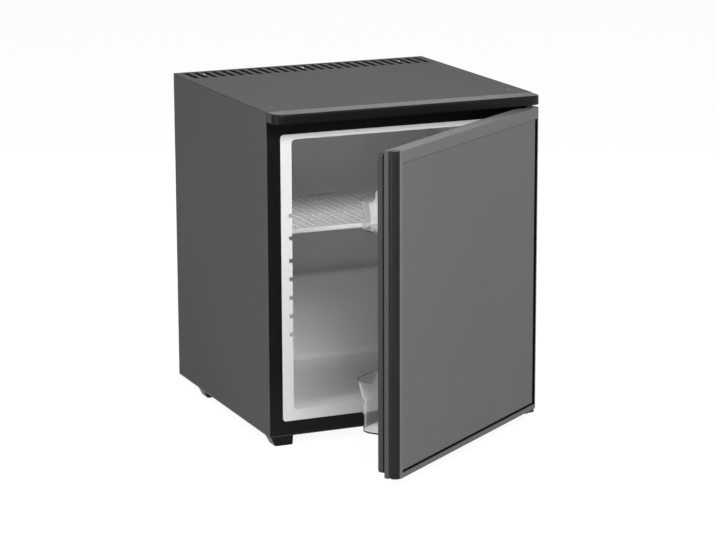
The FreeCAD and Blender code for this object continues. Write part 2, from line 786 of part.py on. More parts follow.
def bolt_places():
    dx = POT_LENGTH / 2 + PLATE_OVERLAP - GROMMET_RADIUS - 1
    dy = POT_WIDTH / 2 - GROMMET_RADIUS
    y = room_middle()
    return [Vector(COMPRESSOR_X + sx * dx, y + sy * dy, PAN_TOP) for sx in (-1, 1) for sy in (-1, 1)]


def stadium(length, width, x, y):
    half = width / 2
    radius = half - FIT
    return rectangle(x - length / 2, y - half, x + length / 2, y + half, radius)


def compressor():
    """Hermetic pot: two drawn shells joined at a flanged seam, on a plate with four feet."""
    x = COMPRESSOR_X
    y = room_middle()
    low = pot_bottom()
    pot = prism(stadium(POT_LENGTH, POT_WIDTH, x, y), "xy", low, low + POT_HEIGHT)
    pot = fillet(pot, POT_TOP_ROUND, lambda edge: at(edge, "z", low + POT_HEIGHT))
    pot = fillet(pot, POT_BOTTOM_ROUND, lambda edge: at(edge, "z", low))
    seam = prism(stadium(POT_LENGTH + 2 * POT_SEAM, POT_WIDTH + 2 * POT_SEAM, x, y), "xy",
                 low + POT_SEAM_LEVEL, low + POT_SEAM_LEVEL + POT_SEAM_HEIGHT)
    half = POT_LENGTH / 2 + PLATE_OVERLAP
    plate = prism(rectangle(x - half, y - POT_WIDTH / 2, x + half, y + POT_WIDTH / 2, GROMMET_RADIUS), "xy",
                  low - PLATE_THICK, low)
    holes = [rod(GROMMET_NECK + FIT, Vector(p.x, p.y, low - PLATE_THICK - 1), Vector(p.x, p.y, low + 1))
             for p in bolt_places()]
    stubs = [rod(STUB_RADIUS, p, q) for p, q in (suction_stub(), discharge_stub())]
    return pot.fuse([seam, plate.cut(holes)] + stubs).removeSplitter()


def suction_stub():
    """Start inside the shell and open end of the suction stub."""
    z = pot_bottom() + SUCTION_LEVEL
    x = COMPRESSOR_X - POT_LENGTH / 2
    return Vector(x + STUB_LENGTH, room_middle(), z), Vector(x - STUB_LENGTH, room_middle(), z)


def discharge_stub():
    x = COMPRESSOR_X + DISCHARGE_OFFSET
    z = pot_top()
    return Vector(x, room_middle(), z - STUB_LENGTH), Vector(x, room_middle(), z + STUB_LENGTH / 2)


def compressor_mounts():
    """Four rubber grommets that carry the compressor's plate."""
    mounts = []
    for p in bolt_places():
        low = Vector(p.x, p.y, PAN_TOP)
        under = Vector(p.x, p.y, plate_under())
        over = Vector(p.x, p.y, pot_bottom())
        top = over + Vector(0, 0, GROMMET_COLLAR)
        body = rod(GROMMET_RADIUS, low, under).fuse([rod(GROMMET_NECK, under, over),
                                                     rod(GROMMET_RADIUS - 2, over, top)])
        mounts.append(body.cut(rod(BOLT_RADIUS + FIT, low - Vector(0, 0, 1), top + Vector(0, 0, 1))))
    return Part.makeCompound(mounts)


def hexagon(across, centre, height):
    radius = across / math.cos(math.pi / 6)
    points = [centre + Vector(radius * math.cos(i * math.pi / 3), radius * math.sin(i * math.pi / 3), 0)
              for i in range(7)]
    return Part.Face(Part.makePolygon(points)).extrude(Vector(0, 0, height))


def compressor_bolts():
    bolts = []
    for p in bolt_places():
        top = Vector(p.x, p.y, pot_bottom() + GROMMET_COLLAR)
        shank = rod(BOLT_RADIUS, Vector(p.x, p.y, BASE - BOLT_TAIL), top)
        bolts.append(shank.fuse(hexagon(BOLT_HEAD - 1, top, BOLT_HEAD_HEIGHT)))
    return Part.makeCompound(bolts)


def terminal_cover():
    """Cover of the start relay, clipped over the end of the compressor."""
    x = COMPRESSOR_X + POT_LENGTH / 2
    y = room_middle()
    z = pot_bottom() + COVER_LEVEL
    cover = box(x - COVER_LENGTH / 2, y - COVER_WIDTH / 2, z, x + COVER_LENGTH, y + COVER_WIDTH / 2, z + COVER_HEIGHT)
    cover = fillet(cover, COVER_ROUND, lambda edge: edge.BoundBox.XMax > x + COVER_LENGTH - 1e-6)
    outer = stadium(POT_LENGTH + 2 * POT_SEAM + 2 * FIT, POT_WIDTH + 2 * POT_SEAM + 2 * FIT, COMPRESSOR_X, y)
    return cover.cut(prism(outer, "xy", z - 1, z + COVER_HEIGHT + 1))


def evaporation_tray():
    """Open tray on the warm compressor, under the drain."""
    x = COMPRESSOR_X - POT_LENGTH / 2 + TRAY_LENGTH / 2
    y = room_middle()
    z = pot_top()
    half = TRAY_LENGTH / 2
    wide = TRAY_WIDTH / 2
    wall = TRAY_WALL
    outer = prism(rectangle(x - half, y - wide, x + half, y + wide, TRAY_CORNER), "xy", z, z + TRAY_HEIGHT)
    inner = prism(rectangle(x - half + wall, y - wide + wall, x + half - wall, y + wide - wall, TRAY_CORNER - wall),
                  "xy", z + wall, z + TRAY_HEIGHT + 1)
    return outer.cut(inner)


def condenser_y():
    return REAR - CONDENSER_REAR


def condenser_levels():
    high = TOP - CONDENSER_TOP_DROP
    low = ROOM_ROOF + CONDENSER_LOW
    passes = 2 * int((high - low) / CONDENSER_PITCH / 2) + 1
    return [high - i * CONDENSER_PITCH for i in range(passes)]


def condenser_coil():
    """One tube bent to and fro across the chimney, from the upper right to the lower left."""
    y = condenser_y()
    bend = CONDENSER_PITCH / 2
    x = RIGHT - SHEET - CONDENSER_SIDE - bend
    edges = []
    levels = condenser_levels()
    side = 1
    for i, z in enumerate(levels):
        start = Vector(side * x, y, z)
        end = Vector(-side * x, y, z)
        if i == 0:
            start = Vector(RIGHT - SHEET - RISER_SIDE - PIPE_BEND, y, z)
        if i == len(levels) - 1:
            end = Vector(LEFT + SHEET + RISER_SIDE + PIPE_BEND, y, z)
        edges.append(Part.makeLine(start, end))
        if i < len(levels) - 1:
            middle = Vector(-side * (x + bend), y, z - bend)
            edges.append(Part.Arc(end, middle, Vector(-side * x, y, z - CONDENSER_PITCH)).toShape())
        side = -side
    path = Part.Wire(edges)
    first = edges[0].Vertexes[0].Point
    circle = Part.Wire(Part.makeCircle(CONDENSER_TUBE, first, Vector(1, 0, 0)))
    return path.makePipeShell([circle], True, False)


def condenser_wires():
    """Upright wires welded to both faces of the coil."""
    levels = condenser_levels()
    low = levels[-1] - WIRE_OVERRUN
    high = levels[0] + WIRE_OVERRUN
    span = RIGHT - SHEET - CONDENSER_SIDE - CONDENSER_PITCH / 2
    count = int(2 * span / WIRE_PITCH)
    half = WIRE_SIZE / 2
    wires = []
    for i in range(count + 1):
        x = (i - count / 2) * WIRE_PITCH
        for face in (-1, 1):
            y = condenser_y() + face * (CONDENSER_TUBE + half)
            wires.append(box(x - half, y - half, low, x + half, y + half, high))
    return Part.makeCompound(wires)


def condenser_spacers():
    """Four clips that hold the condenser off the back panel."""
    levels = condenser_levels()
    y1 = condenser_y() - CONDENSER_TUBE - WIRE_SIZE
    clips = []
    for x in (LEFT + SPACER_INSET, RIGHT - SPACER_INSET):
        for z in (levels[1] - CONDENSER_PITCH / 2, levels[-2] + CONDENSER_PITCH / 2):
            half = SPACER_HEIGHT / 2
            foot_plate = box(x - SPACER_WIDTH / 2, BACK_Y, z - half, x + SPACER_WIDTH / 2, BACK_Y + 2, z + half)
            stem = box(x - SPACER_WIDTH / 4, BACK_Y + 1, z - half, x + SPACER_WIDTH / 4, y1, z + half)
            head = box(x - SPACER_WIDTH / 2, y1 - 2, z - half, x + SPACER_WIDTH / 2, y1, z + half)
            clips.append(foot_plate.fuse([stem, head]))
    return Part.makeCompound(clips)


def discharge_pipe():
    """From the compressor's stub, across and up the right side to the top of the condenser."""
    start = discharge_stub()[1]
    y = condenser_y()
    x = RIGHT - SHEET - RISER_SIDE
    top = condenser_levels()[0]
    turn = start.z + 1.2 * PIPE_BEND
    points = [start, Vector(start.x, start.y, turn), Vector(x - 2 * PIPE_BEND, y, turn),
              Vector(x, y, turn + 3 * PIPE_BEND), Vector(x, y, top), Vector(x - PIPE_BEND, y, top)]
    return tube(points, PIPE_RADIUS, PIPE_BEND - 0.01)


def drier_top():
    return Vector(LEFT + SHEET + RISER_SIDE, condenser_y(), condenser_levels()[-1] - DRIER_DROP)


def liquid_pipe():
    """From the condenser's last pass down into the drier."""
    x = LEFT + SHEET + RISER_SIDE
    z = condenser_levels()[-1]
    points = [Vector(x + PIPE_BEND, condenser_y(), z), Vector(x, condenser_y(), z), drier_top()]
    return tube(points, CONDENSER_TUBE, PIPE_BEND - 0.01)


def filter_drier():
    """Copper capsule with tapered ends."""
    top = drier_top()
    neck = 2 * DRIER_RADIUS
    radius = DRIER_RADIUS
    low = top - Vector(0, 0, DRIER_LENGTH)
    half_profile = [Vector(0, 0, 0), Vector(CONDENSER_TUBE, 0, 0), Vector(radius, 0, -neck / 2),
                    Vector(radius, 0, neck / 2 - DRIER_LENGTH), Vector(CAPILLARY_RADIUS, 0, -DRIER_LENGTH),
                    Vector(0, 0, -DRIER_LENGTH), Vector(0, 0, 0)]
    face = Part.Face(Part.makePolygon([p + top for p in half_profile]))
    return face.revolve(Vector(top.x, top.y, low.z), Vector(0, 0, 1), 360)


def capillary_tube():
    """Thin tube from the drier to the wall of the compressor room."""
    start = drier_top() - Vector(0, 0, DRIER_LENGTH)
    z = start.z - 3 * CAPILLARY_BEND
    points = [start, Vector(start.x, start.y, z), Vector(start.x, ROOM_Y, z)]
    return tube(points, CAPILLARY_RADIUS, CAPILLARY_BEND)


def suction_pipe():
    """From the wall of the chimney down to the compressor's stub."""
    end = suction_stub()[1]
    z = ROOM_ROOF + SUCTION_ENTRY
    points = [Vector(SUCTION_X, BACK_Y, z), Vector(SUCTION_X, end.y, z), Vector(SUCTION_X, end.y, end.z), end]
    return tube(points, PIPE_RADIUS, (end.y - BACK_Y) / 1.6)


def inlet_middle():
    return RIGHT - INLET_SIDE / 2 - INLET_WIDTH / 4


def inlet_bracket():
    """Bent bracket on the base that carries the mains inlet."""
    x = inlet_middle()
    y = REAR - INLET_MARGIN
    half = INLET_WIDTH / 2 + INLET_CORNER
    z0 = PAN_TOP
    z1 = z0 + INLET_LEVEL + INLET_HEIGHT + INLET_CORNER
    outline = [(y - BRACKET_FOOT, z0, 0), (y, z0, BEND_RADIUS), (y, z1, 0), (y - BRACKET_SHEET, z1, 0),
               (y - BRACKET_SHEET, z0 + BRACKET_SHEET, 0), (y - BRACKET_FOOT, z0 + BRACKET_SHEET, 0)]
    sheet = prism(outline, "yz", x - half, x + half)
    hole = inlet_outline(INLET_LIP - FIT, INLET_LIP_HEIGHT - FIT, INLET_WALL)
    return sheet.cut(prism(hole, "xz", y - BRACKET_SHEET - 1, y + 1))


def inlet_outline(side, end, corner):
    """The inlet's flange outline, drawn in by a margin at its sides and at its ends."""
    x = inlet_middle()
    half = INLET_WIDTH / 2 - side
    z = PAN_TOP + INLET_LEVEL
    return rectangle(x - half, z + end, x + half, z + INLET_HEIGHT - end, corner)


def mains_inlet():
    """Three-pin appliance inlet: flange, body behind the bracket, recess and pins."""
    y = REAR - INLET_MARGIN
    face = y + INLET_FLANGE
    floor = face - INLET_RECESS
    wall = INLET_WALL
    flange = prism(inlet_outline(0, 0, INLET_CORNER), "xz", y, face)
    body = prism(inlet_outline(INLET_LIP, INLET_LIP_HEIGHT, wall), "xz", y - INLET_BODY, y + 1)
    inside = inlet_outline(INLET_LIP + wall, INLET_LIP_HEIGHT + wall, wall / 2)
    pins = []
    for i in (-1, 0, 1):
        x = inlet_middle() + i * INLET_PIN_PITCH
        z = PAN_TOP + INLET_LEVEL + INLET_HEIGHT / 2 + (1 - 2 * abs(i)) * INLET_PIN_STEP
        pins.append(box(x - INLET_PIN_THICK / 2, floor - 1, z - INLET_PIN / 2,
                        x + INLET_PIN_THICK / 2, face - wall, z + INLET_PIN / 2))
    return flange.fuse(body).cut(prism(inside, "xz", floor, face + 1)).fuse(pins).removeSplitter()


# Inside fittings
def shelf():
    """Perforated shelf whose sides run in the liner's grooves, with a front lip."""
    z = groove_levels()[GROOVES_BELOW_SHELF]
    low = z - GROOVE_HEIGHT / 2 + CLEAR
    side = CAV_LEFT - GROOVE_DEPTH + SHELF_SIDE_GAP
    front = FRONT + SHELF_SETBACK
    rear = CAV_REAR - GROOVE_END - SHELF_REAR_GAP
    inner = CAV_LEFT + SHELF_SIDE_GAP
    outline = [(side, front, 2), (-side, front, 2), (-side, rear, 6), (side, rear, 6)]
    plate = prism(outline, "xy", low, low + SHELF_PLATE)
    lip = prism([(front, low, 2), (front, low + SHELF_LIP, 2), (front + SHELF_LIP_DEPTH, low + SHELF_LIP, 2),
                 (front + SHELF_LIP_DEPTH, low, 0)], "yz", inner, -inner)
    plate = plate.fuse(lip)
    columns = int((-2 * inner - 2 * HOLE_MARGIN) / HOLE_PITCH)
    rows = int((rear - front - 2 * HOLE_MARGIN) / HOLE_PITCH)
    holes = []
    middle = (front + rear) / 2
    for i in range(columns + 1):
        for j in range(rows + 1):
            spot = Vector((i - columns / 2) * HOLE_PITCH, middle + (j - rows / 2) * HOLE_PITCH, low - 1)
            holes.append(hexagon(HOLE_DIAMETER / 2, spot, SHELF_PLATE + 2))
    return plate.cut(holes)


def control_front():
    return CAV_REAR - CONTROL_REAR_GAP - CONTROL_WIDTH


def knob_centre():
    return Vector(KNOB_OFFSET, control_front(), CAV_CEILING - CONTROL_HEIGHT / 2)


def control_box():
    """Moulded box under the ceiling for the thermostat and the lamp, open at the top."""
    y0 = control_front()
    y1 = y0 + CONTROL_WIDTH
    low = CAV_CEILING - CONTROL_HEIGHT
    half = CONTROL_LENGTH / 2
    shell = prism(rectangle(-half, y0, half, y1, CONTROL_ROUND), "xy", low, CAV_CEILING)
    shell = fillet(shell, CONTROL_ROUND / 2, lambda edge: at(edge, "z", low))
    wall = CONTROL_WALL
    hollow = prism(rectangle(-half + wall, y0 + wall, half - wall, y1 - wall, CONTROL_ROUND - wall), "xy",
                   low + wall, CAV_CEILING + 1)
    knob = knob_centre()
    hole = rod(KNOB_SHAFT + PIN_RUN, knob - Vector(0, 1, 0), knob + Vector(0, wall + 1, 0))
    x = LAMP_OFFSET
    y = (y0 + y1) / 2
    window = prism(rectangle(x - LAMP_LENGTH / 2, y - LAMP_WIDTH / 2, x + LAMP_LENGTH / 2, y + LAMP_WIDTH / 2,
                             LAMP_CORNER), "xy", low - 1, low + wall + 1)
    return shell.cut([hollow, hole, window])


def lamp_cover():
    """Clear cover that closes the lamp window, with a rim inside the box."""
    y = control_front() + CONTROL_WIDTH / 2
    low = CAV_CEILING - CONTROL_HEIGHT
    x = LAMP_OFFSET
    half = LAMP_LENGTH / 2 - FIT
    wide = LAMP_WIDTH / 2 - FIT
    lens = prism(rectangle(x - half, y - wide, x + half, y + wide, LAMP_CORNER - FIT), "xy",
                 low - LAMP_DROP, low + CONTROL_WALL)
    lens = fillet(lens, LAMP_DROP / 2, lambda edge: at(edge, "z", low - LAMP_DROP))
    rim = prism(rectangle(x - half - 3, y - wide - 3, x + half + 3, y + wide + 3, LAMP_CORNER), "xy",
                low + CONTROL_WALL, low + CONTROL_WALL + 1.5)
    return lens.fuse(rim)


def thermostat_knob():
    """Round knob with a raised grip bar on a shaft that turns in the box's wall."""
    centre = knob_centre()
    out = Vector(0, -1, 0)
    face = centre + out * CLEAR
    disc = rod(KNOB_RADIUS, face, face + out * (KNOB_LENGTH - KNOB_GRIP))
    tip = face + out * KNOB_LENGTH
    grip = prism(rectangle(centre.x - 2, centre.z - KNOB_RADIUS + 1, centre.x + 2, centre.z + KNOB_RADIUS - 1, 1.5),
                 "xz", tip.y, face.y)
    shaft = rod(KNOB_SHAFT, centre - out * KNOB_SHAFT_LENGTH, face)
    return disc.fuse([grip, shaft])


# Door, modelled shut
def on_door_front(edge):
    """True when an edge starts in the plane of the door's front."""
    return abs(edge.BoundBox.YMin - DOOR_FRONT) < SAME


def stile_core(left, right):
    """Outline of a stile's hollow, one wall inside its back part."""
    wall = STILE_WALL
    return rectangle(left + wall, PANEL_SLOT_BACK + wall, right - wall, DOOR_BACK - wall, STILE_CORE_CORNER)


def door_handle_stile():
    """Full-height profile: rounded nose, finger groove, rear rim, panel slot, hollow closed at the top."""
    y = DOOR_FRONT
    grip = y + GRIP_SETBACK
    slot = LEFT + LIP_WIDTH - PANEL_TUCK
    inner = LEFT + STILE_WIDTH
    deep = LEFT + GRIP_DEPTH
    outline = [
        (LEFT + LIP_WIDTH, y, 0), (LEFT, y, NOSE_RADIUS),
        (LEFT, grip, 0), (deep, grip, GRIP_EDGE),
        (deep, grip + GRIP_WIDTH, GRIP_EDGE), (LEFT, grip + GRIP_WIDTH, 0),
        (LEFT, DOOR_BACK, RAIL_EDGE), (inner, DOOR_BACK, 0),
        (inner, PANEL_SLOT_BACK, 0), (slot, PANEL_SLOT_BACK, 0),
        (slot, PANEL_SLOT_FRONT, 0), (LEFT + LIP_WIDTH, PANEL_SLOT_FRONT, 0),
    ]
    bar = prism(outline, "xy", DOOR_BOTTOM, DOOR_TOP)
    bar = fillet(bar, RAIL_EDGE, lambda edge: at(edge, "z", DOOR_TOP) and on_door_front(edge))
    bar = fillet(bar, RAIL_EDGE, lambda edge: at(edge, "z", DOOR_BOTTOM) and on_door_front(edge))
    return bar.cut(prism(stile_core(deep, inner), "xy", DOOR_BOTTOM - 1, DOOR_TOP - STILE_WALL))


def door_hinge_stile():
    """Profile between the rails: a rounded outer strip, then a shadow gap, then a rebate under the panel."""
    inner = RIGHT - STILE_WIDTH
    outline = [
        (RIGHT - HINGE_STRIP, DOOR_FRONT, 0), (RIGHT, DOOR_FRONT, HINGE_CORNER),
        (RIGHT, DOOR_BACK, BACK_CORNER), (inner, DOOR_BACK, 0),
        (inner, PANEL_SLOT_BACK, 0), (RIGHT - HINGE_STRIP, PANEL_SLOT_BACK, 0),
    ]
    bar = prism(outline, "xy", RAIL_BOTTOM, RAIL_TOP)
    return bar.cut(prism(stile_core(inner, RIGHT), "xy", RAIL_BOTTOM - 1, RAIL_TOP + 1))


def rail(low, high, edge_level):
    """A rail from the handle stile to the hinge side, with a tenon in the stile's slot."""
    tenon = LEFT + LIP_WIDTH - PANEL_TUCK + CLEAR
    inner = LEFT + STILE_WIDTH
    outline = [
        (LEFT + LIP_WIDTH, DOOR_FRONT, 0), (RIGHT, DOOR_FRONT, HINGE_CORNER),
        (RIGHT, DOOR_BACK, BACK_CORNER), (inner, DOOR_BACK, 0),
        (inner, PANEL_SLOT_BACK, 0), (tenon, PANEL_SLOT_BACK, 0),
        (tenon, PANEL_SLOT_FRONT, 0), (LEFT + LIP_WIDTH, PANEL_SLOT_FRONT, 0),
    ]
    bar = prism(outline, "xy", low, high)
    return fillet(bar, RAIL_EDGE, lambda edge: at(edge, "z", edge_level) and on_door_front(edge))


def panel_left():
    return LEFT + LIP_WIDTH - PANEL_TUCK + CLEAR


def panel_right():
    return RIGHT - HINGE_STRIP - SHADOW_GAP


def upper_bush_end():
    return DOOR_TOP - UPPER_PIN_DEPTH - BUSH_END


def lower_bush_end():
    return DOOR_BOTTOM + LOWER_PIN_DEPTH + BUSH_END


def bush_hole(low, high):
    return rod(BUSH_RADIUS + PIN_RUN, Vector(HINGE_X, HINGE_Y, low), Vector(HINGE_X, HINGE_Y, high))


def door_top_rail():
    """Top rail over the hinge stile, slotted for the panel's upper edge, with the upper hinge bush."""
    slot = box(LEFT, PANEL_SLOT_FRONT, RAIL_TOP - 1, panel_right() + CLEAR, PANEL_SLOT_BACK, RAIL_TOP + PANEL_TUCK)
    return rail(RAIL_TOP, DOOR_TOP, DOOR_TOP).cut([slot, bush_hole(upper_bush_end(), DOOR_TOP + 1)])


def door_bottom_rail():
    """Bottom rail: a front strip, a shadow gap above it and a rebate under the panel's lower edge."""
    rebate = box(LEFT, DOOR_FRONT - 1, DOOR_BOTTOM + BOTTOM_STRIP,
                 RIGHT - HINGE_STRIP, PANEL_SLOT_BACK, RAIL_BOTTOM + 1)
    hole = bush_hole(DOOR_BOTTOM - 1, lower_bush_end())
    return rail(DOOR_BOTTOM, RAIL_BOTTOM, DOOR_BOTTOM).cut([rebate, hole])


def door_panel():
    """Flat front panel, tucked into the handle stile and the top rail, open to a gap on the other two sides."""
    return box(panel_left(), PANEL_FRONT, RAIL_BOTTOM - PANEL_TUCK,
               panel_right(), PANEL_BACK, RAIL_TOP + PANEL_TUCK - CLEAR)


def plateau(shrink, low_y):
    """The raised middle of the inner door, with a shallow pan between its two upright dykes."""
    x = LEFT + PLATEAU_INSET + shrink
    low = DOOR_BOTTOM + PLATEAU_INSET + shrink
    high = DOOR_TOP - PLATEAU_TOP_DROP - shrink
    high_y = PLATEAU_Y - shrink
    block = prism(rectangle(x, low, -x, high, PLATEAU_CORNER - shrink), "xz", low_y, high_y)
    block = fillet(block, PLATEAU_EDGE - shrink, lambda edge: at(edge, "y", high_y))
    pan_x = LEFT + PLATEAU_INSET + DYKE_WIDTH - shrink
    margin = PAN_MARGIN - 2 * shrink
    pan = rectangle(pan_x, low + margin, -pan_x, high - margin, PLATEAU_CORNER / 2 + shrink)
    return block.cut(prism(pan, "xz", PLATEAU_Y - PAN_DEPTH - shrink, PLATEAU_Y + 1))


def bin_specs():
    """Each balcony: floor level, reach from the plateau, front height and outward flare."""
    return {
        "upper_balcony": (CAV_CEILING - UPPER_BIN_DROP, UPPER_BIN_REACH, UPPER_BIN_FRONT, UPPER_BIN_FLARE),
        "lower_balcony": (DOOR_BOTTOM + LOWER_BIN_LIFT, LOWER_BIN_REACH, LOWER_BIN_FRONT, LOWER_BIN_FLARE),
    }


def boss_top(floor, front):
    return floor + front + BIN_EAR - BOSS_DROP


def door_inner_panel():
    """White inner door: a thin shell with the plateau and the bosses that carry the balconies."""
    x = LEFT + STILE_WIDTH
    low = DOOR_BACK - DOOR_SKIN
    sheet = box(x, low, RAIL_BOTTOM, -x, DOOR_BACK, RAIL_TOP)
    shell = sheet.fuse(plateau(0, low)).cut(plateau(DOOR_SKIN, low - 1))
    bosses = []
    for floor, reach, front, flare in bin_specs().values():
        z = boss_top(floor, front)
        x0 = LEFT + BIN_INSET + BIN_WALL + CLEAR * 4
        boss = box(x0, PLATEAU_Y - DOOR_SKIN, z - BOSS_HEIGHT, x0 + BOSS_WIDTH, PLATEAU_Y + BOSS_DEPTH, z)
        bosses += [boss, mirrored(boss)]
    return shell.fuse(bosses).removeSplitter()


def door_foam():
    x = LEFT + STILE_WIDTH
    low = DOOR_BACK - DOOR_SKIN
    core = box(x, PANEL_BACK, RAIL_BOTTOM, -x, low, RAIL_TOP)
    return core.fuse(plateau(DOOR_SKIN, low)).removeSplitter()


def gasket_ring(inset, low, high):
    x0 = LEFT + GASKET_SIDE + inset
    x1 = HINGE_X - CLEAR - inset
    z0 = DOOR_BOTTOM + GASKET_BOTTOM + inset
    z1 = DOOR_TOP - GASKET_TOP - inset
    width = GASKET_WIDTH - 2 * inset
    outer = prism(rectangle(x0, z0, x1, z1, GASKET_CORNER), "xz", low, high)
    inner = rectangle(x0 + width, z0 + width, x1 - width, z1 - width, GASKET_CORNER / 2)
    return outer.cut(prism(inner, "xz", low - 1, high + 1))


def door_gasket():
    """Magnetic seal: a narrow neck against the door and the magnet bead that meets the frame."""
    neck_end = DOOR_BACK + GASKET_NECK
    neck = gasket_ring(GASKET_NECK_INSET, DOOR_BACK, neck_end)
    return neck.fuse(gasket_ring(0, neck_end, FRONT - CLEAR)).removeSplitter()


def bin_outline(reach, wall):
    x = LEFT + BIN_INSET + wall
    y0 = PLATEAU_Y + CLEAR + wall
    y1 = PLATEAU_Y + reach - wall
    round_front = BIN_CORNER - wall
    return [(x, y0, 0), (-x, y0, 0), (-x, y1, round_front), (x, y1, round_front)]


def bin_volume(floor, reach, front, flare, wall):
    """The balcony's outer or inner volume: straight below, flared at the front above."""
    bend = floor + front * BIN_STRAIGHT
    high = floor + front + BIN_EAR
    low = floor + wall
    lower = prism(bin_outline(reach, wall), "xy", low, bend)
    spread = reach + flare * (high - bend) / (floor + front - bend)
    wires = [rounded_wire(bin_outline(reach, wall), "xy", bend), rounded_wire(bin_outline(spread, wall), "xy", high)]
    upper = Part.makeLoft(wires, True, True)
    return lower.fuse(upper)


def balcony(floor, reach, front, flare):
    """Clear door balcony: thin walls, ears at the rear that hang on the inner door's bosses."""
    shell = bin_volume(floor, reach, front, flare, 0).cut(bin_volume(floor, reach, front, flare, BIN_WALL))
    high = floor + front + BIN_EAR
    rim = floor + front
    ear = PLATEAU_Y + BIN_EAR_DEPTH
    far = PLATEAU_Y + reach + 3 * flare + 5
    wide = RIGHT
    above = prism([(ear, high + 1, 0), (ear, rim, BIN_EAR_ROUND), (far, rim, 0), (far, high + 1, 0)],
                  "yz", -wide, wide)
    back_cut = prism(rectangle(LEFT + BIN_INSET + DYKE_WIDTH, floor + front / 2,
                               RIGHT - BIN_INSET - DYKE_WIDTH, high + BIN_EAR, 8), "xz",
                     PLATEAU_Y, PLATEAU_Y + CLEAR + BIN_WALL + 1)
    cuts = [above, back_cut]
    x0 = LEFT + BIN_INSET + BIN_WALL + CLEAR * 3
    notch = box(x0, PLATEAU_Y, floor - 1, x0 + BOSS_WIDTH + 2 * CLEAR,
                PLATEAU_Y + BOSS_DEPTH + CLEAR, boss_top(floor, front) + CLEAR)
    cuts += [notch, mirrored(notch)]
    return shell.cut(cuts).removeSplitter()


# Hinges
def upper_leaf_under():
    return TOP - TRIM_HEIGHT + TRIM_WALL


def upper_hinge():
    """Angle bracket on the front frame, hidden in the trim, whose leaf carries the upper pin."""
    low = upper_leaf_under()
    x1 = RIGHT - TRIM_WALL - HINGE_SIDE / 2
    x0 = x1 - HINGE_WIDTH
    upright = box(x0, FRONT - HINGE_LEAF, low, x1, FRONT, TOP - TRIM_EDGE - CLEAR)
    half = x1 - HINGE_X
    tip = HINGE_Y - BUSH_FLANGE
    leaf = [(HINGE_X - half, FRONT, 0), (HINGE_X - half, tip, BUSH_RADIUS), (x1, tip, BUSH_FLANGE), (x1, FRONT, 0)]
    bracket = upright.fuse(prism(leaf, "xy", low, low + HINGE_LEAF))
    pin = Vector(HINGE_X, HINGE_Y, low)
    cuts = [rod(PIN_RADIUS + PIN_RUN / 2, pin - Vector(0, 0, 1), pin + Vector(0, 0, HINGE_LEAF + 1))]
    for point in upper_screw_places():
        cuts.append(rod(SCREW_RADIUS, point - Vector(0, 1, 0), point + Vector(0, HINGE_LEAF + 1, 0)))
    return bracket.cut(cuts).removeSplitter()


def upper_screw_places():
    x1 = RIGHT - TRIM_WALL - HINGE_SIDE / 2
    z = TOP - TRIM_EDGE - CLEAR - SCREW_HEAD - 0.5
    first = x1 - HINGE_WIDTH + 2 * SCREW_HEAD
    last = 2 * HINGE_X - x1 - 2 * SCREW_HEAD
    return [Vector(first, FRONT - HINGE_LEAF, z), Vector(last, FRONT - HINGE_LEAF, z)]


def upper_hinge_pin():
    low = upper_leaf_under()
    head = Vector(HINGE_X, HINGE_Y, low + HINGE_LEAF)
    end = Vector(HINGE_X, HINGE_Y, DOOR_TOP - UPPER_PIN_DEPTH)
    return rod(PIN_RADIUS, end, head).fuse(rod(PIN_HEAD, head, head + Vector(0, 0, PIN_HEAD_HEIGHT)))


def lower_wing():
    """Left and right edge of the lower bracket's wing, beside the foot."""
    right = foot_places()["front_right_foot"].x - FOOT_WIDTH / 2 - HINGE_FOOT_GAP
    return right - HINGE_WING, right


def lower_hinge():
    """Flat bracket under the base: a wing beside the foot and a tongue below the door's corner."""
    x1 = RIGHT - HINGE_SIDE / 2
    x0 = 2 * HINGE_X - x1
    tip = HINGE_Y - BUSH_FLANGE
    wing_left, wing_right = lower_wing()
    seat = FRONT - CLEAR
    arm = FRONT - HINGE_SETBACK
    tail = FRONT + HINGE_TAIL
    outline = [
        (x1, seat, 2), (x1, tip, BUSH_FLANGE), (x0, tip, BUSH_RADIUS), (x0, arm, 3),
        (wing_left, arm, 4), (wing_left, tail, 4), (wing_right, tail, 4), (wing_right, seat, 1),
    ]
    plate = prism(outline, "xy", BASE - LOWER_LEAF, BASE)
    pin = Vector(HINGE_X, HINGE_Y, BASE - LOWER_LEAF)
    cuts = [rod(PIN_RADIUS + PIN_RUN / 2, pin - Vector(0, 0, 1), pin + Vector(0, 0, LOWER_LEAF + 1))]
    for point in lower_screw_places():
        cuts.append(rod(SCREW_RADIUS, point - Vector(0, 0, 1), point + Vector(0, 0, LOWER_LEAF + 1)))
    return plate.cut(cuts)


def lower_screw_places():
    x = sum(lower_wing()) / 2
    z = BASE - LOWER_LEAF
    return [Vector(x, FRONT + 2 * SCREW_HEAD, z), Vector(x, FRONT + HINGE_TAIL - 2 * SCREW_HEAD, z)]


def lower_hinge_pin():
    low = BASE - LOWER_LEAF
    head = Vector(HINGE_X, HINGE_Y, low)
    end = Vector(HINGE_X, HINGE_Y, DOOR_BOTTOM + LOWER_PIN_DEPTH)
    return rod(PIN_RADIUS, head, end).fuse(rod(PIN_HEAD, head - Vector(0, 0, PIN_HEAD_HEIGHT), head))


def hinge_screws():
    back = Vector(0, 1, 0)
    up = Vector(0, 0, 1)
    upper = [pan_head_screw(p, back, HINGE_LEAF) for p in upper_screw_places()]
    lower = [pan_head_screw(p, up, LOWER_LEAF + PAN_SHEET) for p in lower_screw_places()]
    return Part.makeCompound(upper + lower)


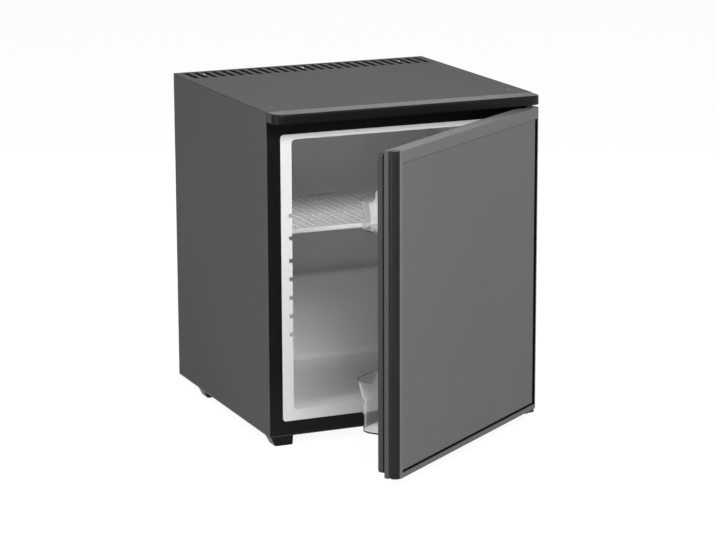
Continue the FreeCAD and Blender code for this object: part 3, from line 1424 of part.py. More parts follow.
def bush(collar, collar_end, end):
    """Flanged bearing bush on the hinge axis, from its collar into the rail."""
    axis = Vector(HINGE_X, HINGE_Y, 0)
    body = rod(BUSH_RADIUS, axis + Vector(0, 0, collar), axis + Vector(0, 0, end))
    ring = rod(BUSH_FLANGE, axis + Vector(0, 0, collar), axis + Vector(0, 0, collar_end))
    low = min(collar, collar_end, end) - 1
    high = max(collar, collar_end, end) + 1
    return body.fuse(ring).cut(rod(PIN_RADIUS + PIN_RUN, axis + Vector(0, 0, low), axis + Vector(0, 0, high)))


def upper_hinge_bush():
    return bush(DOOR_TOP, DOOR_TOP + BUSH_COLLAR, upper_bush_end())


def lower_hinge_bush():
    return bush(DOOR_BOTTOM, BASE + CLEAR, lower_bush_end())


def main():
    os.makedirs("parts", exist_ok=True)
    left = side_panel()
    save("left_side_panel", left)
    save("right_side_panel", mirrored(left))
    save("top_panel", top_panel())
    save("grille_rail", grille_rail())
    save("top_screws", top_screws())
    save("top_screw_caps", top_caps())
    save("top_trim", top_trim())
    save("front_frame", front_frame())
    save("inner_liner", inner_liner())
    save("insulation_foam", insulation_foam())
    save("back_panel", back_panel())
    save("base_pan", base_pan())
    for name, point in foot_places().items():
        save(name, foot(point))
    save("evaporator_plate", evaporator_plate())
    save("compressor", compressor())
    save("compressor_mounts", compressor_mounts())
    save("compressor_bolts", compressor_bolts())
    save("terminal_cover", terminal_cover())
    save("evaporation_tray", evaporation_tray())
    save("drain_tube", drain_tube())
    save("condenser_coil", condenser_coil())
    save("condenser_wires", condenser_wires())
    save("condenser_spacers", condenser_spacers())
    save("discharge_pipe", discharge_pipe())
    save("liquid_pipe", liquid_pipe())
    save("filter_drier", filter_drier())
    save("capillary_tube", capillary_tube())
    save("suction_pipe", suction_pipe())
    save("inlet_bracket", inlet_bracket())
    save("mains_inlet", mains_inlet())
    save("shelf", shelf())
    save("control_box", control_box())
    save("lamp_cover", lamp_cover())
    save("thermostat_knob", thermostat_knob())
    save("upper_hinge", upper_hinge())
    save("upper_hinge_pin", upper_hinge_pin())
    save("lower_hinge", lower_hinge())
    save("lower_hinge_pin", lower_hinge_pin())
    save("hinge_screws", hinge_screws())
    door = {
        "door_handle_stile": door_handle_stile(),
        "door_hinge_stile": door_hinge_stile(),
        "door_top_rail": door_top_rail(),
        "door_bottom_rail": door_bottom_rail(),
        "door_panel": door_panel(),
        "door_foam": door_foam(),
        "door_inner_panel": door_inner_panel(),
        "door_gasket": door_gasket(),
        "upper_hinge_bush": upper_hinge_bush(),
        "lower_hinge_bush": lower_hinge_bush(),
    }
    for name, spec in bin_specs().items():
        door[name] = balcony(*spec)
    for name, shape in door.items():
        save(name, ajar(shape))


main()
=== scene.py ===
# %% [markdown]
# A hotel minibar fridge, door ajar. The solids come ready made and in place; this lesson dresses them:
# coated sheet, moulded plastic, clear balconies, a perforated shelf and the cooling unit at the rear.
# Sizes and places are in metres, and every piece keeps its place in its own mesh.

# %% Load the fridge
import bpy
import bmesh
import math
from mathutils import Matrix, Vector


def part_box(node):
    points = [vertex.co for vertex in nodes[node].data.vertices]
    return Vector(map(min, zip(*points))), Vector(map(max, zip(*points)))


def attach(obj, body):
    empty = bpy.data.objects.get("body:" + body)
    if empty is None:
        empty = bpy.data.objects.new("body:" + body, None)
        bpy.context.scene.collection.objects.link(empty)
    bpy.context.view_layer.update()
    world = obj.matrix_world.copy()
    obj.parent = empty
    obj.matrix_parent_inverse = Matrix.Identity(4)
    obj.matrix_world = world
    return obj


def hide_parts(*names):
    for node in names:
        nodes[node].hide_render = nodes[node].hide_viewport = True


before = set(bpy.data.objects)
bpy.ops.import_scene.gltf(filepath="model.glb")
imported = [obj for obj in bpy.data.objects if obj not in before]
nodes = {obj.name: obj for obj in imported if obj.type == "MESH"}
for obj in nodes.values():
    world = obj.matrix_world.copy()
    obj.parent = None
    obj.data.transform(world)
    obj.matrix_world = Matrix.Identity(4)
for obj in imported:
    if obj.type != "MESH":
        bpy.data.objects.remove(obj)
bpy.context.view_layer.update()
scene = bpy.context.scene

# %% [markdown]
# The camera stands to the left of the fridge and looks slightly down through a long lens, so that
# upright edges stay nearly parallel. Its turns are read from right to left: it is rolled about its own
# line of sight, raised from looking straight down, then turned to its bearing. Lens and sensor are in
# millimetres.

# %% Camera
LENS = 135.91
SENSOR = 36.0
FARTHEST = 100.0
CAMERA_PLACE = Vector((-1.8443, -4.2729, 1.3308))
BEARING = math.radians(23.329)
TILT = math.radians(13.109)
ROLL = math.radians(-0.22)

camera = bpy.data.objects.new("camera", bpy.data.cameras.new("camera"))
camera.data.lens = LENS
camera.data.sensor_width = SENSOR
camera.data.sensor_fit = "HORIZONTAL"
camera.data.clip_end = FARTHEST
turned = Matrix.Rotation(-BEARING, 4, "Z")
raised = Matrix.Rotation(math.pi / 2 - TILT, 4, "X")
rolled = Matrix.Rotation(ROLL, 4, "Z")
camera.matrix_world = Matrix.Translation(CAMERA_PLACE) @ (turned @ raised @ rolled)
scene.collection.objects.link(camera)
scene.camera = camera
scene.view_settings.view_transform = "Standard"
print("camera at", [round(c, 2) for c in CAMERA_PLACE], "lens", LENS, "mm")

# %% [markdown]
# Light is a plain studio. A large soft lamp hangs high in front, so the white mouth is bright and the
# cavity behind it falls into shade. A lamp at the left lights the side wall, and one at the right faces
# the open door. Two low lamps draw a line on rounded corners, and a low one behind reaches into the
# compressor room. Lamps could be placed one by one; a table and a loop keep their numbers together.

# %% Lamps
# Name, place, the point it faces, width and height, watts
LAMPS = (
    ("high_front", (-0.3, -2.6, 2.3), (0.0, -0.2, 0.4), (1.4, 1.0), 84),
    ("left", (-2.2, -0.8, 1.9), (-0.2, 0.0, 0.4), (1.0, 1.4), 21),
    ("right", (1.6, -2.4, 1.5), (0.0, -0.4, 0.3), (1.2, 1.2), 6),
    ("low_left", (-1.9, -0.9, 0.3), (0.0, -0.2, 0.3), (0.9, 0.6), 8),
    ("low_right", (1.7, -1.6, 0.3), (0.1, -0.4, 0.3), (0.7, 0.6), 4),
    ("rear", (0.9, 2.3, 0.45), (0.0, 0.2, 0.35), (1.0, 0.6), 11),
)
for name, place, target, size, watts in LAMPS:
    lamp = bpy.data.lights.new(name, "AREA")
    lamp.shape = "RECTANGLE"
    lamp.size, lamp.size_y = size
    lamp.energy = watts
    holder = bpy.data.objects.new(name, lamp)
    aim = (Vector(target) - Vector(place)).to_track_quat("-Z", "Y")
    holder.matrix_world = Matrix.Translation(place) @ aim.to_matrix().to_4x4()
    scene.collection.objects.link(holder)

# %% [markdown]
# The camera, mirror images and a look through clear plastic meet a white world. As a source of light the
# world is dim in front of the fridge and brighter behind it and at both sides, so that the grey sheets
# keep their own tone. Light Path tells the two apart, and math nodes shape the dim one.

# %% World
BASE_LIGHT = 0.07
SIDE_LIGHT = 0.28
REAR_LIGHT = 0.70
SKY_LIGHT = 0.04
DAYLIGHT = (0.96, 0.98, 1.0, 1)
WHITE = (1, 1, 1, 1)


def arithmetic(tree, operation, *values):
    """One math node; each value is a number or another node's output."""
    node = tree.nodes.new("ShaderNodeMath")
    node.operation = operation
    for socket, value in zip(node.inputs, values):
        if isinstance(value, (int, float)):
            socket.default_value = value
        else:
            tree.links.new(value, socket)
    return node.outputs[0]


def seen_directly(tree):
    """1 where the camera, a mirror image or a look through clear plastic arrives, else 0."""
    path = tree.nodes.new("ShaderNodeLightPath").outputs
    mirrored = arithmetic(tree, "MAXIMUM", path["Is Glossy Ray"], path["Is Transmission Ray"])
    return arithmetic(tree, "MAXIMUM", path["Is Camera Ray"], mirrored)


def shown_or_lit(tree, lit, shown, output):
    """One shader for what is seen directly, another for the light that reaches the object."""
    blend = tree.nodes.new("ShaderNodeMixShader")
    tree.links.new(seen_directly(tree), blend.inputs["Fac"])
    tree.links.new(lit.outputs[0], blend.inputs[1])
    tree.links.new(shown.outputs[0], blend.inputs[2])
    tree.links.new(blend.outputs[0], tree.nodes[output].inputs["Surface"])


world = bpy.data.worlds.new("studio")
world.use_nodes = True
scene.world = world
tree = world.node_tree
way = tree.nodes.new("ShaderNodeSeparateXYZ")
tree.links.new(tree.nodes.new("ShaderNodeTexCoord").outputs["Generated"], way.inputs[0])
sideways = arithmetic(tree, "POWER", arithmetic(tree, "ABSOLUTE", way.outputs["X"]), 2.0)
behind = arithmetic(tree, "POWER", arithmetic(tree, "MAXIMUM", way.outputs["Y"], 0.0), 2.0)
upward = arithmetic(tree, "MAXIMUM", way.outputs["Z"], 0.0)
strength = arithmetic(tree, "MULTIPLY", sideways, SIDE_LIGHT)
strength = arithmetic(tree, "ADD", strength, arithmetic(tree, "MULTIPLY", behind, REAR_LIGHT))
strength = arithmetic(tree, "ADD", strength, arithmetic(tree, "MULTIPLY", upward, SKY_LIGHT))
calm = tree.nodes["Background"]
calm.inputs["Color"].default_value = DAYLIGHT
tree.links.new(arithmetic(tree, "ADD", strength, BASE_LIGHT), calm.inputs["Strength"])
white = tree.nodes.new("ShaderNodeBackground")
white.inputs["Color"].default_value = WHITE
shown_or_lit(tree, calm, white, "World Output")
print("world light:", BASE_LIGHT, "in front,", BASE_LIGHT + REAR_LIGHT, "behind")

# %% [markdown]
# The floor is a plain pale sheet. Seen directly, most of its brightness is its own, so it melts into
# the white around it, and the rest is what the lamps give it, so the fridge still casts a soft shadow.

# %% Floor
FLOOR_REACH = 9.0
FLOOR_BOUNCE = 0.34
FLOOR_SHADE = 0.16
FLOOR_GLOW = 0.93

floor_mesh = bpy.data.meshes.new("floor")
corners = [(x * FLOOR_REACH, y * FLOOR_REACH, 0) for x, y in ((-1, -1), (1, -1), (1, 1), (-1, 1))]
floor_mesh.from_pydata(corners, [], [(0, 1, 2, 3)])
floor = bpy.data.objects.new("floor", floor_mesh)
scene.collection.objects.link(floor)
pale = bpy.data.materials.new("pale_floor")
pale.use_nodes = True
tree = pale.node_tree
tree.nodes.remove(tree.nodes["Principled BSDF"])
bounce = tree.nodes.new("ShaderNodeBsdfDiffuse")
bounce.inputs["Color"].default_value = (FLOOR_BOUNCE, FLOOR_BOUNCE, FLOOR_BOUNCE, 1)
faint = tree.nodes.new("ShaderNodeBsdfDiffuse")
faint.inputs["Color"].default_value = (FLOOR_SHADE, FLOOR_SHADE, FLOOR_SHADE, 1)
glow = tree.nodes.new("ShaderNodeEmission")
glow.inputs["Strength"].default_value = FLOOR_GLOW
shown = tree.nodes.new("ShaderNodeAddShader")
tree.links.new(faint.outputs[0], shown.inputs[0])
tree.links.new(glow.outputs[0], shown.inputs[1])
shown_or_lit(tree, bounce, shown, "Material Output")
floor_mesh.materials.append(pale)
print("floor", 2 * FLOOR_REACH, "m wide")

# %% [markdown]
# Two surface effects serve nearly every finish. Moulded plastic and baked coating are a base tone with
# a slow drift of shade, a slight change of gloss and a fine grain. Bare metal has streaks along the
# way it was rolled or drawn. Both could be drawn anew in each material; as node groups with named
# inputs they are built once. First come the helpers that build them.

# %% Effect helpers
def tone(red, green, blue):
    """A colour written as it is seen, 0 to 255, turned into light."""
    def light(value):
        value = value / 255
        return value / 12.92 if value <= 0.04045 else ((value + 0.055) / 1.055) ** 2.4
    return (light(red), light(green), light(blue), 1.0)


EFFECT_INPUTS = (
    ("Color", "NodeSocketColor", (0.5, 0.5, 0.5, 1)),
    ("Shade", "NodeSocketColor", (0.4, 0.4, 0.4, 1)),
    ("Drift Scale", "NodeSocketFloat", 4.0),
    ("Grain Scale", "NodeSocketFloat", 900.0),
    ("Roughness", "NodeSocketFloat", 0.4),
    ("Gloss Spread", "NodeSocketFloat", 0.1),
)
EFFECT_OUTPUTS = (
    ("Color", "NodeSocketColor"),
    ("Roughness", "NodeSocketFloat"),
    ("Height", "NodeSocketFloat"),
)


def effect_group(name, *extra_inputs):
    """An empty effect with its named sockets, its inputs and the object's own coordinates."""
    group = bpy.data.node_groups.new(name, "ShaderNodeTree")
    for label, kind, value in EFFECT_INPUTS + extra_inputs:
        socket = group.interface.new_socket(name=label, in_out="INPUT", socket_type=kind)
        socket.default_value = value
    for label, kind in EFFECT_OUTPUTS:
        group.interface.new_socket(name=label, in_out="OUTPUT", socket_type=kind)
    inputs = group.nodes.new("NodeGroupInput").outputs
    return group, inputs, group.nodes.new("ShaderNodeTexCoord").outputs["Object"]


def noise(group, vector, scale, detail):
    texture = group.nodes.new("ShaderNodeTexNoise")
    texture.inputs["Detail"].default_value = detail
    group.links.new(vector, texture.inputs["Vector"])
    group.links.new(scale, texture.inputs["Scale"])
    return texture.outputs["Fac"]


def close_effect(group, inputs, drift, gloss, relief):
    """The tone follows one pattern, roughness swings about its middle by another, relief is a third."""
    mix = group.nodes.new("ShaderNodeMix")
    mix.data_type = "RGBA"
    group.links.new(drift, mix.inputs["Factor"])
    group.links.new(inputs["Color"], mix.inputs[6])
    group.links.new(inputs["Shade"], mix.inputs[7])
    centred = arithmetic(group, "SUBTRACT", gloss, 0.5)
    rough = arithmetic(group, "MULTIPLY_ADD", centred, inputs["Gloss Spread"], inputs["Roughness"])
    result = group.nodes.new("NodeGroupOutput").inputs
    group.links.new(mix.outputs[2], result["Color"])
    group.links.new(rough, result["Roughness"])
    group.links.new(relief, result["Height"])


print("an effect puts out", [label for label, kind in EFFECT_OUTPUTS])

# %% [markdown]
# Grain is the same in every direction, so it reads the coordinates as they are. Streaks come from the
# same noise on coordinates that are squeezed along one way, which draws each speck out into a line.

# %% Grain and streaks
DRIFT_DETAIL = 3.0
GRAIN_DETAIL = 2.0
STREAK_DETAIL = 3.0
UPRIGHT_STREAKS = (1, 1, 0.04)

grained, entry, coords = effect_group("grained_surface")
drift = noise(grained, coords, entry["Drift Scale"], DRIFT_DETAIL)
grain = noise(grained, coords, entry["Grain Scale"], GRAIN_DETAIL)
close_effect(grained, entry, drift, drift, grain)

streaked, entry, coords = effect_group("streaked_metal", ("Along", "NodeSocketVector", UPRIGHT_STREAKS))
stretch = streaked.nodes.new("ShaderNodeVectorMath")
stretch.operation = "MULTIPLY"
streaked.links.new(coords, stretch.inputs[0])
streaked.links.new(entry["Along"], stretch.inputs[1])
drift = noise(streaked, coords, entry["Drift Scale"], DRIFT_DETAIL)
streak = noise(streaked, stretch.outputs[0], entry["Grain Scale"], STREAK_DETAIL)
close_effect(streaked, entry, drift, streak, streak)
print("effects:", [g.name for g in bpy.data.node_groups])

# %% [markdown]
# A finish is one material: the shader, one effect and a bump made from the effect's height. Values that
# are the same everywhere, such as metal or not, sit on the shader itself. The dull coatings of this
# fridge mirror less than plain plastic does, so they share a low specular level.

# %% Finishes
RELIEF_DEPTH = 0.0002
LOW_SHINE = 0.2


def finish(name, effect, values, bump, metallic=0.0, **shader_values):
    material = bpy.data.materials.new(name)
    material.use_nodes = True
    tree = material.node_tree
    shader = tree.nodes["Principled BSDF"]
    shader.inputs["Metallic"].default_value = metallic
    for label, value in shader_values.items():
        shader.inputs[label.replace("_", " ")].default_value = value
    look = tree.nodes.new("ShaderNodeGroup")
    look.node_tree = effect
    for label, value in values.items():
        look.inputs[label].default_value = value
    relief = tree.nodes.new("ShaderNodeBump")
    relief.inputs["Strength"].default_value = bump
    relief.inputs["Distance"].default_value = RELIEF_DEPTH
    tree.links.new(look.outputs["Color"], shader.inputs["Base Color"])
    tree.links.new(look.outputs["Roughness"], shader.inputs["Roughness"])
    tree.links.new(look.outputs["Height"], relief.inputs["Height"])
    tree.links.new(relief.outputs["Normal"], shader.inputs["Normal"])
    return material


def paint(light, dark, rough, spread, grain_scale=1400.0, drift_scale=3.0):
    return {"Color": tone(*light), "Shade": tone(*dark), "Roughness": rough, "Gloss Spread": spread,
            "Grain Scale": grain_scale, "Drift Scale": drift_scale}


grey_sheet = finish("grey_coated_sheet", grained, paint((83, 86, 84), (77, 80, 78), 0.78, 0.08),
                    bump=0.18, Specular_IOR_Level=LOW_SHINE)
door_sheet = finish("grey_door_panel", grained, paint((99, 101, 100), (92, 94, 93), 0.46, 0.08),
                    bump=0.15, Specular_IOR_Level=LOW_SHINE)
# painted light: the top rail is the panel's grey, painted a little lighter to stand in for the light on its
# upper edge
rail_plastic = finish("grey_rail_painted_lighter", grained, paint((103, 105, 104), (97, 99, 98), 0.4, 0.08),
                      bump=0.12, Specular_IOR_Level=LOW_SHINE)
stile_plastic = finish("two_tone_stile_painted_highlight", grained, paint((80, 81, 81), (75, 76, 76), 0.38, 0.08),
                       bump=0.1, Specular_IOR_Level=0.14)
# painted highlight: the hinge stile is painted a lighter grey than the panel, standing in for the light from
# the right on its rounded edge
hinge_rail = finish("hinge_stile_painted_highlight_and_gap_shade", grained, paint((124, 126, 125), (118, 120, 119), 0.42, 0.08),
                    bump=0.12, Specular_IOR_Level=LOW_SHINE)
low_rail = finish("bottom_rail_painted_gap_shade", grained, paint((97, 99, 98), (91, 93, 92), 0.42, 0.08),
                  bump=0.12, Specular_IOR_Level=LOW_SHINE)
black_plastic = finish("black_trim_plastic", grained, paint((18, 18, 19), (14, 14, 15), 0.34, 0.1),
                       bump=0.12, Specular_IOR_Level=0.12)
black_paint = finish("black_baked_paint", grained,
                     paint((26, 26, 27), (18, 18, 19), 0.34, 0.14, 700.0, 9.0), bump=0.2)
liner_white = finish("white_liner", grained,
                     paint((232, 233, 233), (227, 228, 228), 0.34, 0.08, 500.0), bump=0.04)
foam = finish("insulation_foam", grained,
              paint((226, 208, 158), (206, 184, 130), 0.9, 0.1, 320.0, 12.0), bump=0.5)
rubber = finish("black_rubber", grained,
                paint((26, 26, 26), (20, 20, 20), 0.66, 0.1, 800.0), bump=0.15)
seal = finish("grey_seal", grained, paint((62, 62, 64), (56, 56, 58), 0.55, 0.1, 600.0),
              bump=0.1, Specular_IOR_Level=LOW_SHINE)
lamp_lens = finish("frosted_lamp_cover", grained,
                   paint((248, 248, 244), (240, 240, 234), 0.35, 0.1, 260.0), bump=0.15)
bearing = finish("bearing_plastic", grained, paint((48, 48, 49), (42, 42, 43), 0.4, 0.1), bump=0.08)
clear = finish("clear_balcony", grained, paint((246, 247, 247), (242, 243, 243), 0.07, 0.04, 300.0),
               bump=0.02, Transmission_Weight=1.0, IOR=1.46)
zinc = finish("zinc_sheet", streaked,
              paint((178, 181, 184), (150, 153, 157), 0.36, 0.16, 240.0, 14.0), bump=0.1, metallic=1.0)
steel = finish("bright_steel", streaked,
               paint((205, 206, 208), (180, 182, 185), 0.26, 0.12, 900.0, 20.0), bump=0.08, metallic=1.0)
copper = finish("copper_pipe", streaked,
                paint((206, 132, 96), (160, 92, 62), 0.30, 0.14, 500.0, 16.0), bump=0.08, metallic=1.0)
aluminium = finish("rolled_aluminium", streaked,
                   paint((208, 210, 212), (186, 188, 190), 0.34, 0.12, 400.0), bump=0.08, metallic=1.0)
print("finishes:", len(bpy.data.materials))

# %% [markdown]
# Three mouldings of the door get more than one tone. The handle stile has a dark nose between a grey rim
# and a front that is its grey face painted lighter than the panel, a painted highlight along its rounded
# corner. The narrow gap that runs round the panel at the hinge side and at the bottom is painted black as
# painted shade, and the foam is painted dark as painted shade where it shows in the seam beside the top.
# A small group measures each point from the foot of the hinge line along a chosen way and answers 1
# between two distances. The door stands open, so the ways across it and into it are turned with it.

# %% Band of a piece
band_mask = bpy.data.node_groups.new("band_mask", "ShaderNodeTree")
for label, kind in (("Origin", "NodeSocketVector"), ("Way", "NodeSocketVector"),
                    ("From", "NodeSocketFloat"), ("To", "NodeSocketFloat")):
    band_mask.interface.new_socket(name=label, in_out="INPUT", socket_type=kind)
band_mask.interface.new_socket(name="Mask", in_out="OUTPUT", socket_type="NodeSocketFloat")
entry = band_mask.nodes.new("NodeGroupInput").outputs
offset = band_mask.nodes.new("ShaderNodeVectorMath")
offset.operation = "SUBTRACT"
band_mask.links.new(band_mask.nodes.new("ShaderNodeTexCoord").outputs["Object"], offset.inputs[0])
band_mask.links.new(entry["Origin"], offset.inputs[1])
measure = band_mask.nodes.new("ShaderNodeVectorMath")
measure.operation = "DOT_PRODUCT"
band_mask.links.new(offset.outputs[0], measure.inputs[0])
band_mask.links.new(entry["Way"], measure.inputs[1])
after = arithmetic(band_mask, "GREATER_THAN", measure.outputs["Value"], entry["From"])
before = arithmetic(band_mask, "LESS_THAN", measure.outputs["Value"], entry["To"])
between = arithmetic(band_mask, "MULTIPLY", after, before)
band_mask.links.new(between, band_mask.nodes.new("NodeGroupOutput").inputs["Mask"])
print("mask:", band_mask.name)

# %% [markdown]
# Each repainted place is the overlap of one or two such bands. The distances follow the mouldings: the
# nose from its front to its depth, the gap up to the outer strip, and the seam above a height.

# %% Finishes with a second tone, painted shade and a painted highlight
DOOR_ANGLE = math.radians(36)
HINGE = (0.225, -0.209, 0.0)
ACROSS = (math.cos(DOOR_ANGLE), math.sin(DOOR_ANGLE), 0.0)
INWARD = (-math.sin(DOOR_ANGLE), math.cos(DOOR_ANGLE), 0.0)
UP = (0.0, 0.0, 1.0)
ANYWHERE = 9.0
NOSE_FRONT, NOSE_DEPTH = -0.0128, 0.0012
NOSE_END = -0.4587
GAP_END = 0.0098
GAP_LOW, GAP_HIGH = 0.0292, 0.0365
SEAM_LOW = 0.566
NOSE_DARK = (30, 31, 32)
FRONT_GREY_PAINTED_HIGHLIGHT = (112, 113, 113)
GAP_PAINTED_SHADE = (12, 12, 12)
SEAM_PAINTED_SHADE = (24, 24, 24)


def repaint(material, colour, *bands):
    """Another tone where a point lies in every band: a way and two distances from the hinge."""
    tree = material.node_tree
    mask = None
    for way, start, end in bands:
        band = tree.nodes.new("ShaderNodeGroup")
        band.node_tree = band_mask
        for label, value in (("Origin", HINGE), ("Way", way), ("From", start), ("To", end)):
            band.inputs[label].default_value = value
        inside = band.outputs["Mask"]
        mask = inside if mask is None else arithmetic(tree, "MULTIPLY", mask, inside)
    base = tree.nodes["Principled BSDF"].inputs["Base Color"]
    mix = tree.nodes.new("ShaderNodeMix")
    mix.data_type = "RGBA"
    tree.links.new(mask, mix.inputs["Factor"])
    tree.links.new(base.links[0].from_socket, mix.inputs[6])
    mix.inputs[7].default_value = tone(*colour)
    tree.links.new(mix.outputs[2], base)
    print(material.name, "repainted in", colour)


repaint(stile_plastic, NOSE_DARK, (INWARD, NOSE_FRONT, NOSE_DEPTH), (ACROSS, -ANYWHERE, NOSE_END))
# painted highlight: the stile's front is its grey face, painted lighter than the panel so that a light line
# shows along the rounded corner
repaint(stile_plastic, FRONT_GREY_PAINTED_HIGHLIGHT, (INWARD, -ANYWHERE, NOSE_FRONT))
# painted shade: the gap beside the panel at the hinge side is painted black where shade falls in it
repaint(hinge_rail, GAP_PAINTED_SHADE, (ACROSS, -ANYWHERE, GAP_END))
# painted shade: the gap above the bottom strip is painted black where shade falls in it
repaint(low_rail, GAP_PAINTED_SHADE, (UP, GAP_LOW, GAP_HIGH), (ACROSS, -ANYWHERE, GAP_END))
# painted shade: the foam is painted dark above the seam height, where the thin seam beside the top lies in
# shade
repaint(foam, SEAM_PAINTED_SHADE, (UP, SEAM_LOW, ANYWHERE))

# %% [markdown]
# Each ready-made solid takes one finish. The list reads like the parts list of the fridge.

# %% Dress the solids
dressing = [
    (grey_sheet, ("left_side_panel", "right_side_panel", "top_panel")),
    (door_sheet, ("door_panel",)),
    (rail_plastic, ("door_top_rail",)),
    (stile_plastic, ("door_handle_stile",)),
    (hinge_rail, ("door_hinge_stile",)),
    (low_rail, ("door_bottom_rail",)),
    (black_plastic, ("top_trim", "front_frame", "top_screw_caps", "front_left_foot", "front_right_foot",
                     "rear_left_foot", "rear_right_foot", "terminal_cover", "evaporation_tray",
                     "condenser_spacers", "mains_inlet")),
    (black_paint, ("base_pan", "grille_rail", "compressor", "condenser_coil", "condenser_wires",
                   "upper_hinge", "upper_hinge_pin", "lower_hinge", "lower_hinge_pin")),
    (liner_white, ("inner_liner", "door_inner_panel", "shelf", "control_box", "thermostat_knob",
                   "drain_tube")),
    (foam, ("insulation_foam", "door_foam")),
    (rubber, ("compressor_mounts",)),
    (seal, ("door_gasket",)),
    (lamp_lens, ("lamp_cover",)),
    (bearing, ("upper_hinge_bush", "lower_hinge_bush")),
    (zinc, ("back_panel", "inlet_bracket")),
    (steel, ("top_screws", "compressor_bolts", "hinge_screws")),
    (copper, ("discharge_pipe", "liquid_pipe", "filter_drier", "capillary_tube", "suction_pipe")),
    (aluminium, ("evaporator_plate",)),
    (clear, ("upper_balcony", "lower_balcony")),
]
dressed = set()
for material, names in dressing:
    for name in names:
        nodes[name].material_slots[0].material = material
        dressed.add(name)
print("dressed", len(dressed), "of", len(nodes), sorted(set(nodes) - dressed))

# %% [markdown]
# The shelf is a white moulded plate with a square pattern of round holes, and the condenser at the rear is
# a row of thin wires on either face of its coil. Both repeat one small shape, so Geometry Nodes make them:
# a tile with one hole and a plain wire, each placed on a grid of points. Named inputs hold the sizes, and
# the finished pattern becomes a plain mesh.

# %% Pattern helpers
WELD = 1e-6


def pattern_tree(name, inputs):
    """An empty Geometry Nodes tree with named inputs, and the identifiers that a modifier needs."""
    tree = bpy.data.node_groups.new(name, "GeometryNodeTree")
    tree.is_modifier = True
    identifiers = {}
    for label, kind in inputs:
        socket = tree.interface.new_socket(name=label, in_out="INPUT", socket_type=kind)
        identifiers[label] = socket.identifier
    tree.interface.new_socket(name="Geometry", in_out="OUTPUT", socket_type="NodeSocketGeometry")
    return tree, identifiers, tree.nodes.new("NodeGroupInput").outputs


def add_node(tree, kind, inputs, **settings):
    """One node; each input is a plain value or another node's output."""
    node = tree.nodes.new(kind)
    for label, value in settings.items():
        setattr(node, label, value)
    for label, value in inputs.items():
        if isinstance(value, bpy.types.NodeSocket):
            tree.links.new(value, node.inputs[label])
        else:
            node.inputs[label].default_value = value
    return node.outputs[0]


def together(tree, *parts):
    join = tree.nodes.new("GeometryNodeJoinGeometry")
    for part in parts:
        tree.links.new(part, join.inputs[0])
    return join.outputs[0]


def close_tree(tree, points, shape, finish_socket):
    """Places the shape on the points, makes it real, welds it and gives it its finish."""
    spread = add_node(tree, "GeometryNodeInstanceOnPoints", {"Points": points, "Instance": shape})
    real = add_node(tree, "GeometryNodeRealizeInstances", {"Geometry": spread})
    welded = add_node(tree, "GeometryNodeMergeByDistance", {"Geometry": real, "Distance": WELD})
    finished = add_node(tree, "GeometryNodeSetMaterial", {"Geometry": welded, "Material": finish_socket})
    tree.links.new(finished, tree.nodes.new("NodeGroupOutput").inputs[0])


def grow(name, tree, identifiers, values):
    """Evaluates a tree once and keeps the result as a plain mesh."""
    piece = bpy.data.objects.new(name, bpy.data.meshes.new(name))
    scene.collection.objects.link(piece)
    modifier = piece.modifiers.new("pattern", "NODES")
    modifier.node_group = tree
    for label, value in values.items():
        modifier[identifiers[label]] = value
    mesh = bpy.data.meshes.new_from_object(piece.evaluated_get(bpy.context.evaluated_depsgraph_get()))
    piece.modifiers.remove(modifier)
    piece.data = mesh
    print(name, len(mesh.polygons), "faces")
    return piece


print("patterns are welded within", WELD, "m")

# %% [markdown]
# The shelf's tile is a square with a round hole: the same filled outline above and, turned over, below,
# and the hole's wall between. A grid of points spreads it over the plate.

# %% Perforated plate
HOLE_PITCH = 0.015
HOLE_RADIUS = 0.004
HOLE_SIDES = 12
PLATE = 0.004
COLUMNS, ROWS = 26, 17

tree, identifiers, entry = pattern_tree("perforated_plate", [
    ("Columns", "NodeSocketInt"), ("Rows", "NodeSocketInt"), ("Pitch", "NodeSocketFloat"),
    ("Hole Radius", "NodeSocketFloat"), ("Thickness", "NodeSocketFloat"), ("Finish", "NodeSocketMaterial")])
square = add_node(tree, "GeometryNodeCurvePrimitiveQuadrilateral",
                  {"Width": entry["Pitch"], "Height": entry["Pitch"]})
ring = add_node(tree, "GeometryNodeCurvePrimitiveCircle",
                {"Resolution": HOLE_SIDES, "Radius": entry["Hole Radius"]})
face = add_node(tree, "GeometryNodeFillCurve", {"Curve": together(tree, square, ring)})
wall = add_node(tree, "GeometryNodeMeshCylinder",
                {"Vertices": HOLE_SIDES, "Radius": entry["Hole Radius"], "Depth": entry["Thickness"]},
                fill_type="NONE")


def at_height(geometry, share):
    """Moves a face up by a share of the plate's thickness."""
    height = arithmetic(tree, "MULTIPLY", entry["Thickness"], share)
    lift = add_node(tree, "ShaderNodeCombineXYZ", {"Z": height})
    return add_node(tree, "GeometryNodeTransform", {"Geometry": geometry, "Translation": lift})


def turned_over(geometry):
    return add_node(tree, "GeometryNodeFlipFaces", {"Mesh": geometry})


def span(count):
    """The distance from the first point of a row to its last."""
    return arithmetic(tree, "MULTIPLY", arithmetic(tree, "SUBTRACT", count, 1.0), entry["Pitch"])


tile = together(tree, at_height(face, 0.5), turned_over(at_height(face, -0.5)), turned_over(wall))
grid = add_node(tree, "GeometryNodeMeshGrid",
                {"Size X": span(entry["Columns"]), "Size Y": span(entry["Rows"]),
                 "Vertices X": entry["Columns"], "Vertices Y": entry["Rows"]})
close_tree(tree, grid, tile, entry["Finish"])
shelf = grow("perforated_shelf", tree, identifiers, {
    "Columns": COLUMNS, "Rows": ROWS, "Pitch": HOLE_PITCH, "Hole Radius": HOLE_RADIUS, "Thickness": PLATE,
    "Finish": liner_white})

# %% [markdown]
# A plain border and a rounded front lip close the plate to the size of the solid. The border is four
# strips, and the lip is one rounded outline drawn from end to end. Modifiers could round a box as well,
# but an outline gives the arc directly.

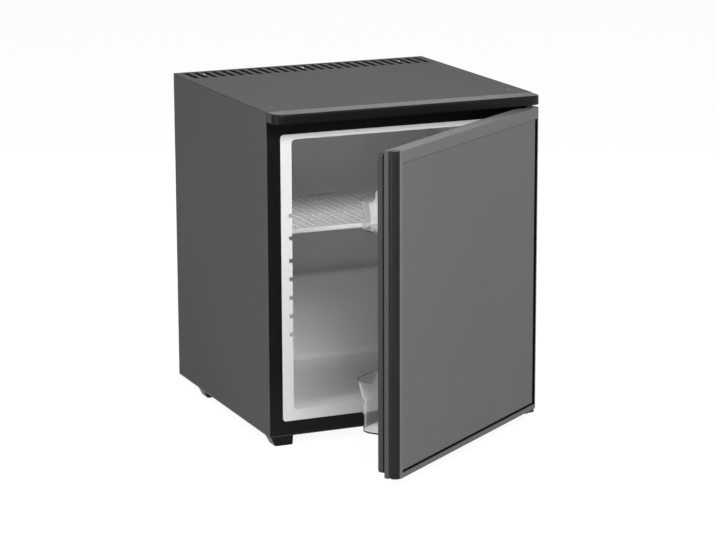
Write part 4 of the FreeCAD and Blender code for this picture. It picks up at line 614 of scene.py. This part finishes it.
# %% Shelf border and lip
LIP_DEPTH = 0.006
LIP_ROUND = 0.002
LIP_INSET = 0.0075
LIP_STEPS = 5

low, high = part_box("shelf")
middle = Vector(((low[0] + high[0]) / 2, (low[1] + LIP_DEPTH + high[1]) / 2, low[2] + PLATE / 2))
shelf.data.transform(Matrix.Translation(middle))


def slab(work, x0, y0, x1, y1):
    """One plain strip of the plate."""
    made = bmesh.ops.create_cube(work, size=1.0)
    shape = Matrix.Diagonal((x1 - x0, y1 - y0, PLATE, 1))
    place = Matrix.Translation(((x0 + x1) / 2, (y0 + y1) / 2, middle.z))
    bmesh.ops.transform(work, matrix=place @ shape, verts=made["verts"])


def rounded(points, radius, steps):
    """A closed outline whose corners are arcs."""
    outline = []
    for index, corner in enumerate(points):
        to_last = (points[index - 1] - corner).normalized() * radius
        to_next = (points[(index + 1) % len(points)] - corner).normalized() * radius
        centre = corner + to_last + to_next
        for step in range(steps + 1):
            turn = math.pi / 2 * step / steps
            outline.append(centre - to_next * math.cos(turn) - to_last * math.sin(turn))
    return outline


half_x, half_y = COLUMNS * HOLE_PITCH / 2, ROWS * HOLE_PITCH / 2
left, right = middle.x - half_x, middle.x + half_x
edge = low[1] + LIP_ROUND
work = bmesh.new()
work.from_mesh(shelf.data)
slab(work, low[0], edge, left, high[1])
slab(work, right, edge, high[0], high[1])
slab(work, left, edge, right, middle.y - half_y)
slab(work, left, middle.y + half_y, right, high[1])

front, back = low[1], low[1] + LIP_DEPTH
corners = [Vector((0, y, z)) for y, z in ((front, low[2]), (front, high[2]), (back, high[2]), (back, low[2]))]
profile = rounded(corners, LIP_ROUND, LIP_STEPS)
ends = []
for x in (low[0] + LIP_INSET, high[0] - LIP_INSET):
    ends.append([work.verts.new((x, p.y, p.z)) for p in profile])
for index in range(len(profile)):
    after = (index + 1) % len(profile)
    work.faces.new((ends[0][index], ends[0][after], ends[1][after], ends[1][index])).smooth = True
for end in ends:
    work.faces.new(end)
bmesh.ops.recalc_face_normals(work, faces=work.faces)
work.to_mesh(shelf.data)
work.free()
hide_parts("shelf")
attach(shelf, "shelf")
print("shelf", [round(b - a, 4) for a, b in zip(low, high)], "m,", COLUMNS * ROWS, "holes")

# %% [markdown]
# The condenser's wires are drawn steel, welded upright to both faces of the coil. The solids are square
# bars, so round ones of the same thickness take their place.

# %% Condenser wires
WIRE = 0.0016
WIRE_COUNT = 20
WIRE_SIDES = 10
FACES_OF_COIL = 2

tree, identifiers, entry = pattern_tree("welded_wires", [
    ("Count", "NodeSocketInt"), ("Width", "NodeSocketFloat"), ("Depth", "NodeSocketFloat"),
    ("Length", "NodeSocketFloat"), ("Radius", "NodeSocketFloat"), ("Finish", "NodeSocketMaterial")])
rows = add_node(tree, "GeometryNodeMeshGrid",
                {"Size X": entry["Width"], "Size Y": entry["Depth"],
                 "Vertices X": entry["Count"], "Vertices Y": FACES_OF_COIL})
bar = add_node(tree, "GeometryNodeMeshCylinder",
               {"Vertices": WIRE_SIDES, "Radius": entry["Radius"], "Depth": entry["Length"]})
close_tree(tree, rows, bar, entry["Finish"])
low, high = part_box("condenser_wires")
wires = grow("round_condenser_wires", tree, identifiers, {
    "Count": WIRE_COUNT, "Width": high[0] - low[0] - WIRE, "Depth": high[1] - low[1] - WIRE,
    "Length": high[2] - low[2], "Radius": WIRE / 2, "Finish": black_paint})
wires.data.transform(Matrix.Translation([(a + b) / 2 for a, b in zip(low, high)]))
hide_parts("condenser_wires")
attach(wires, "cabinet")
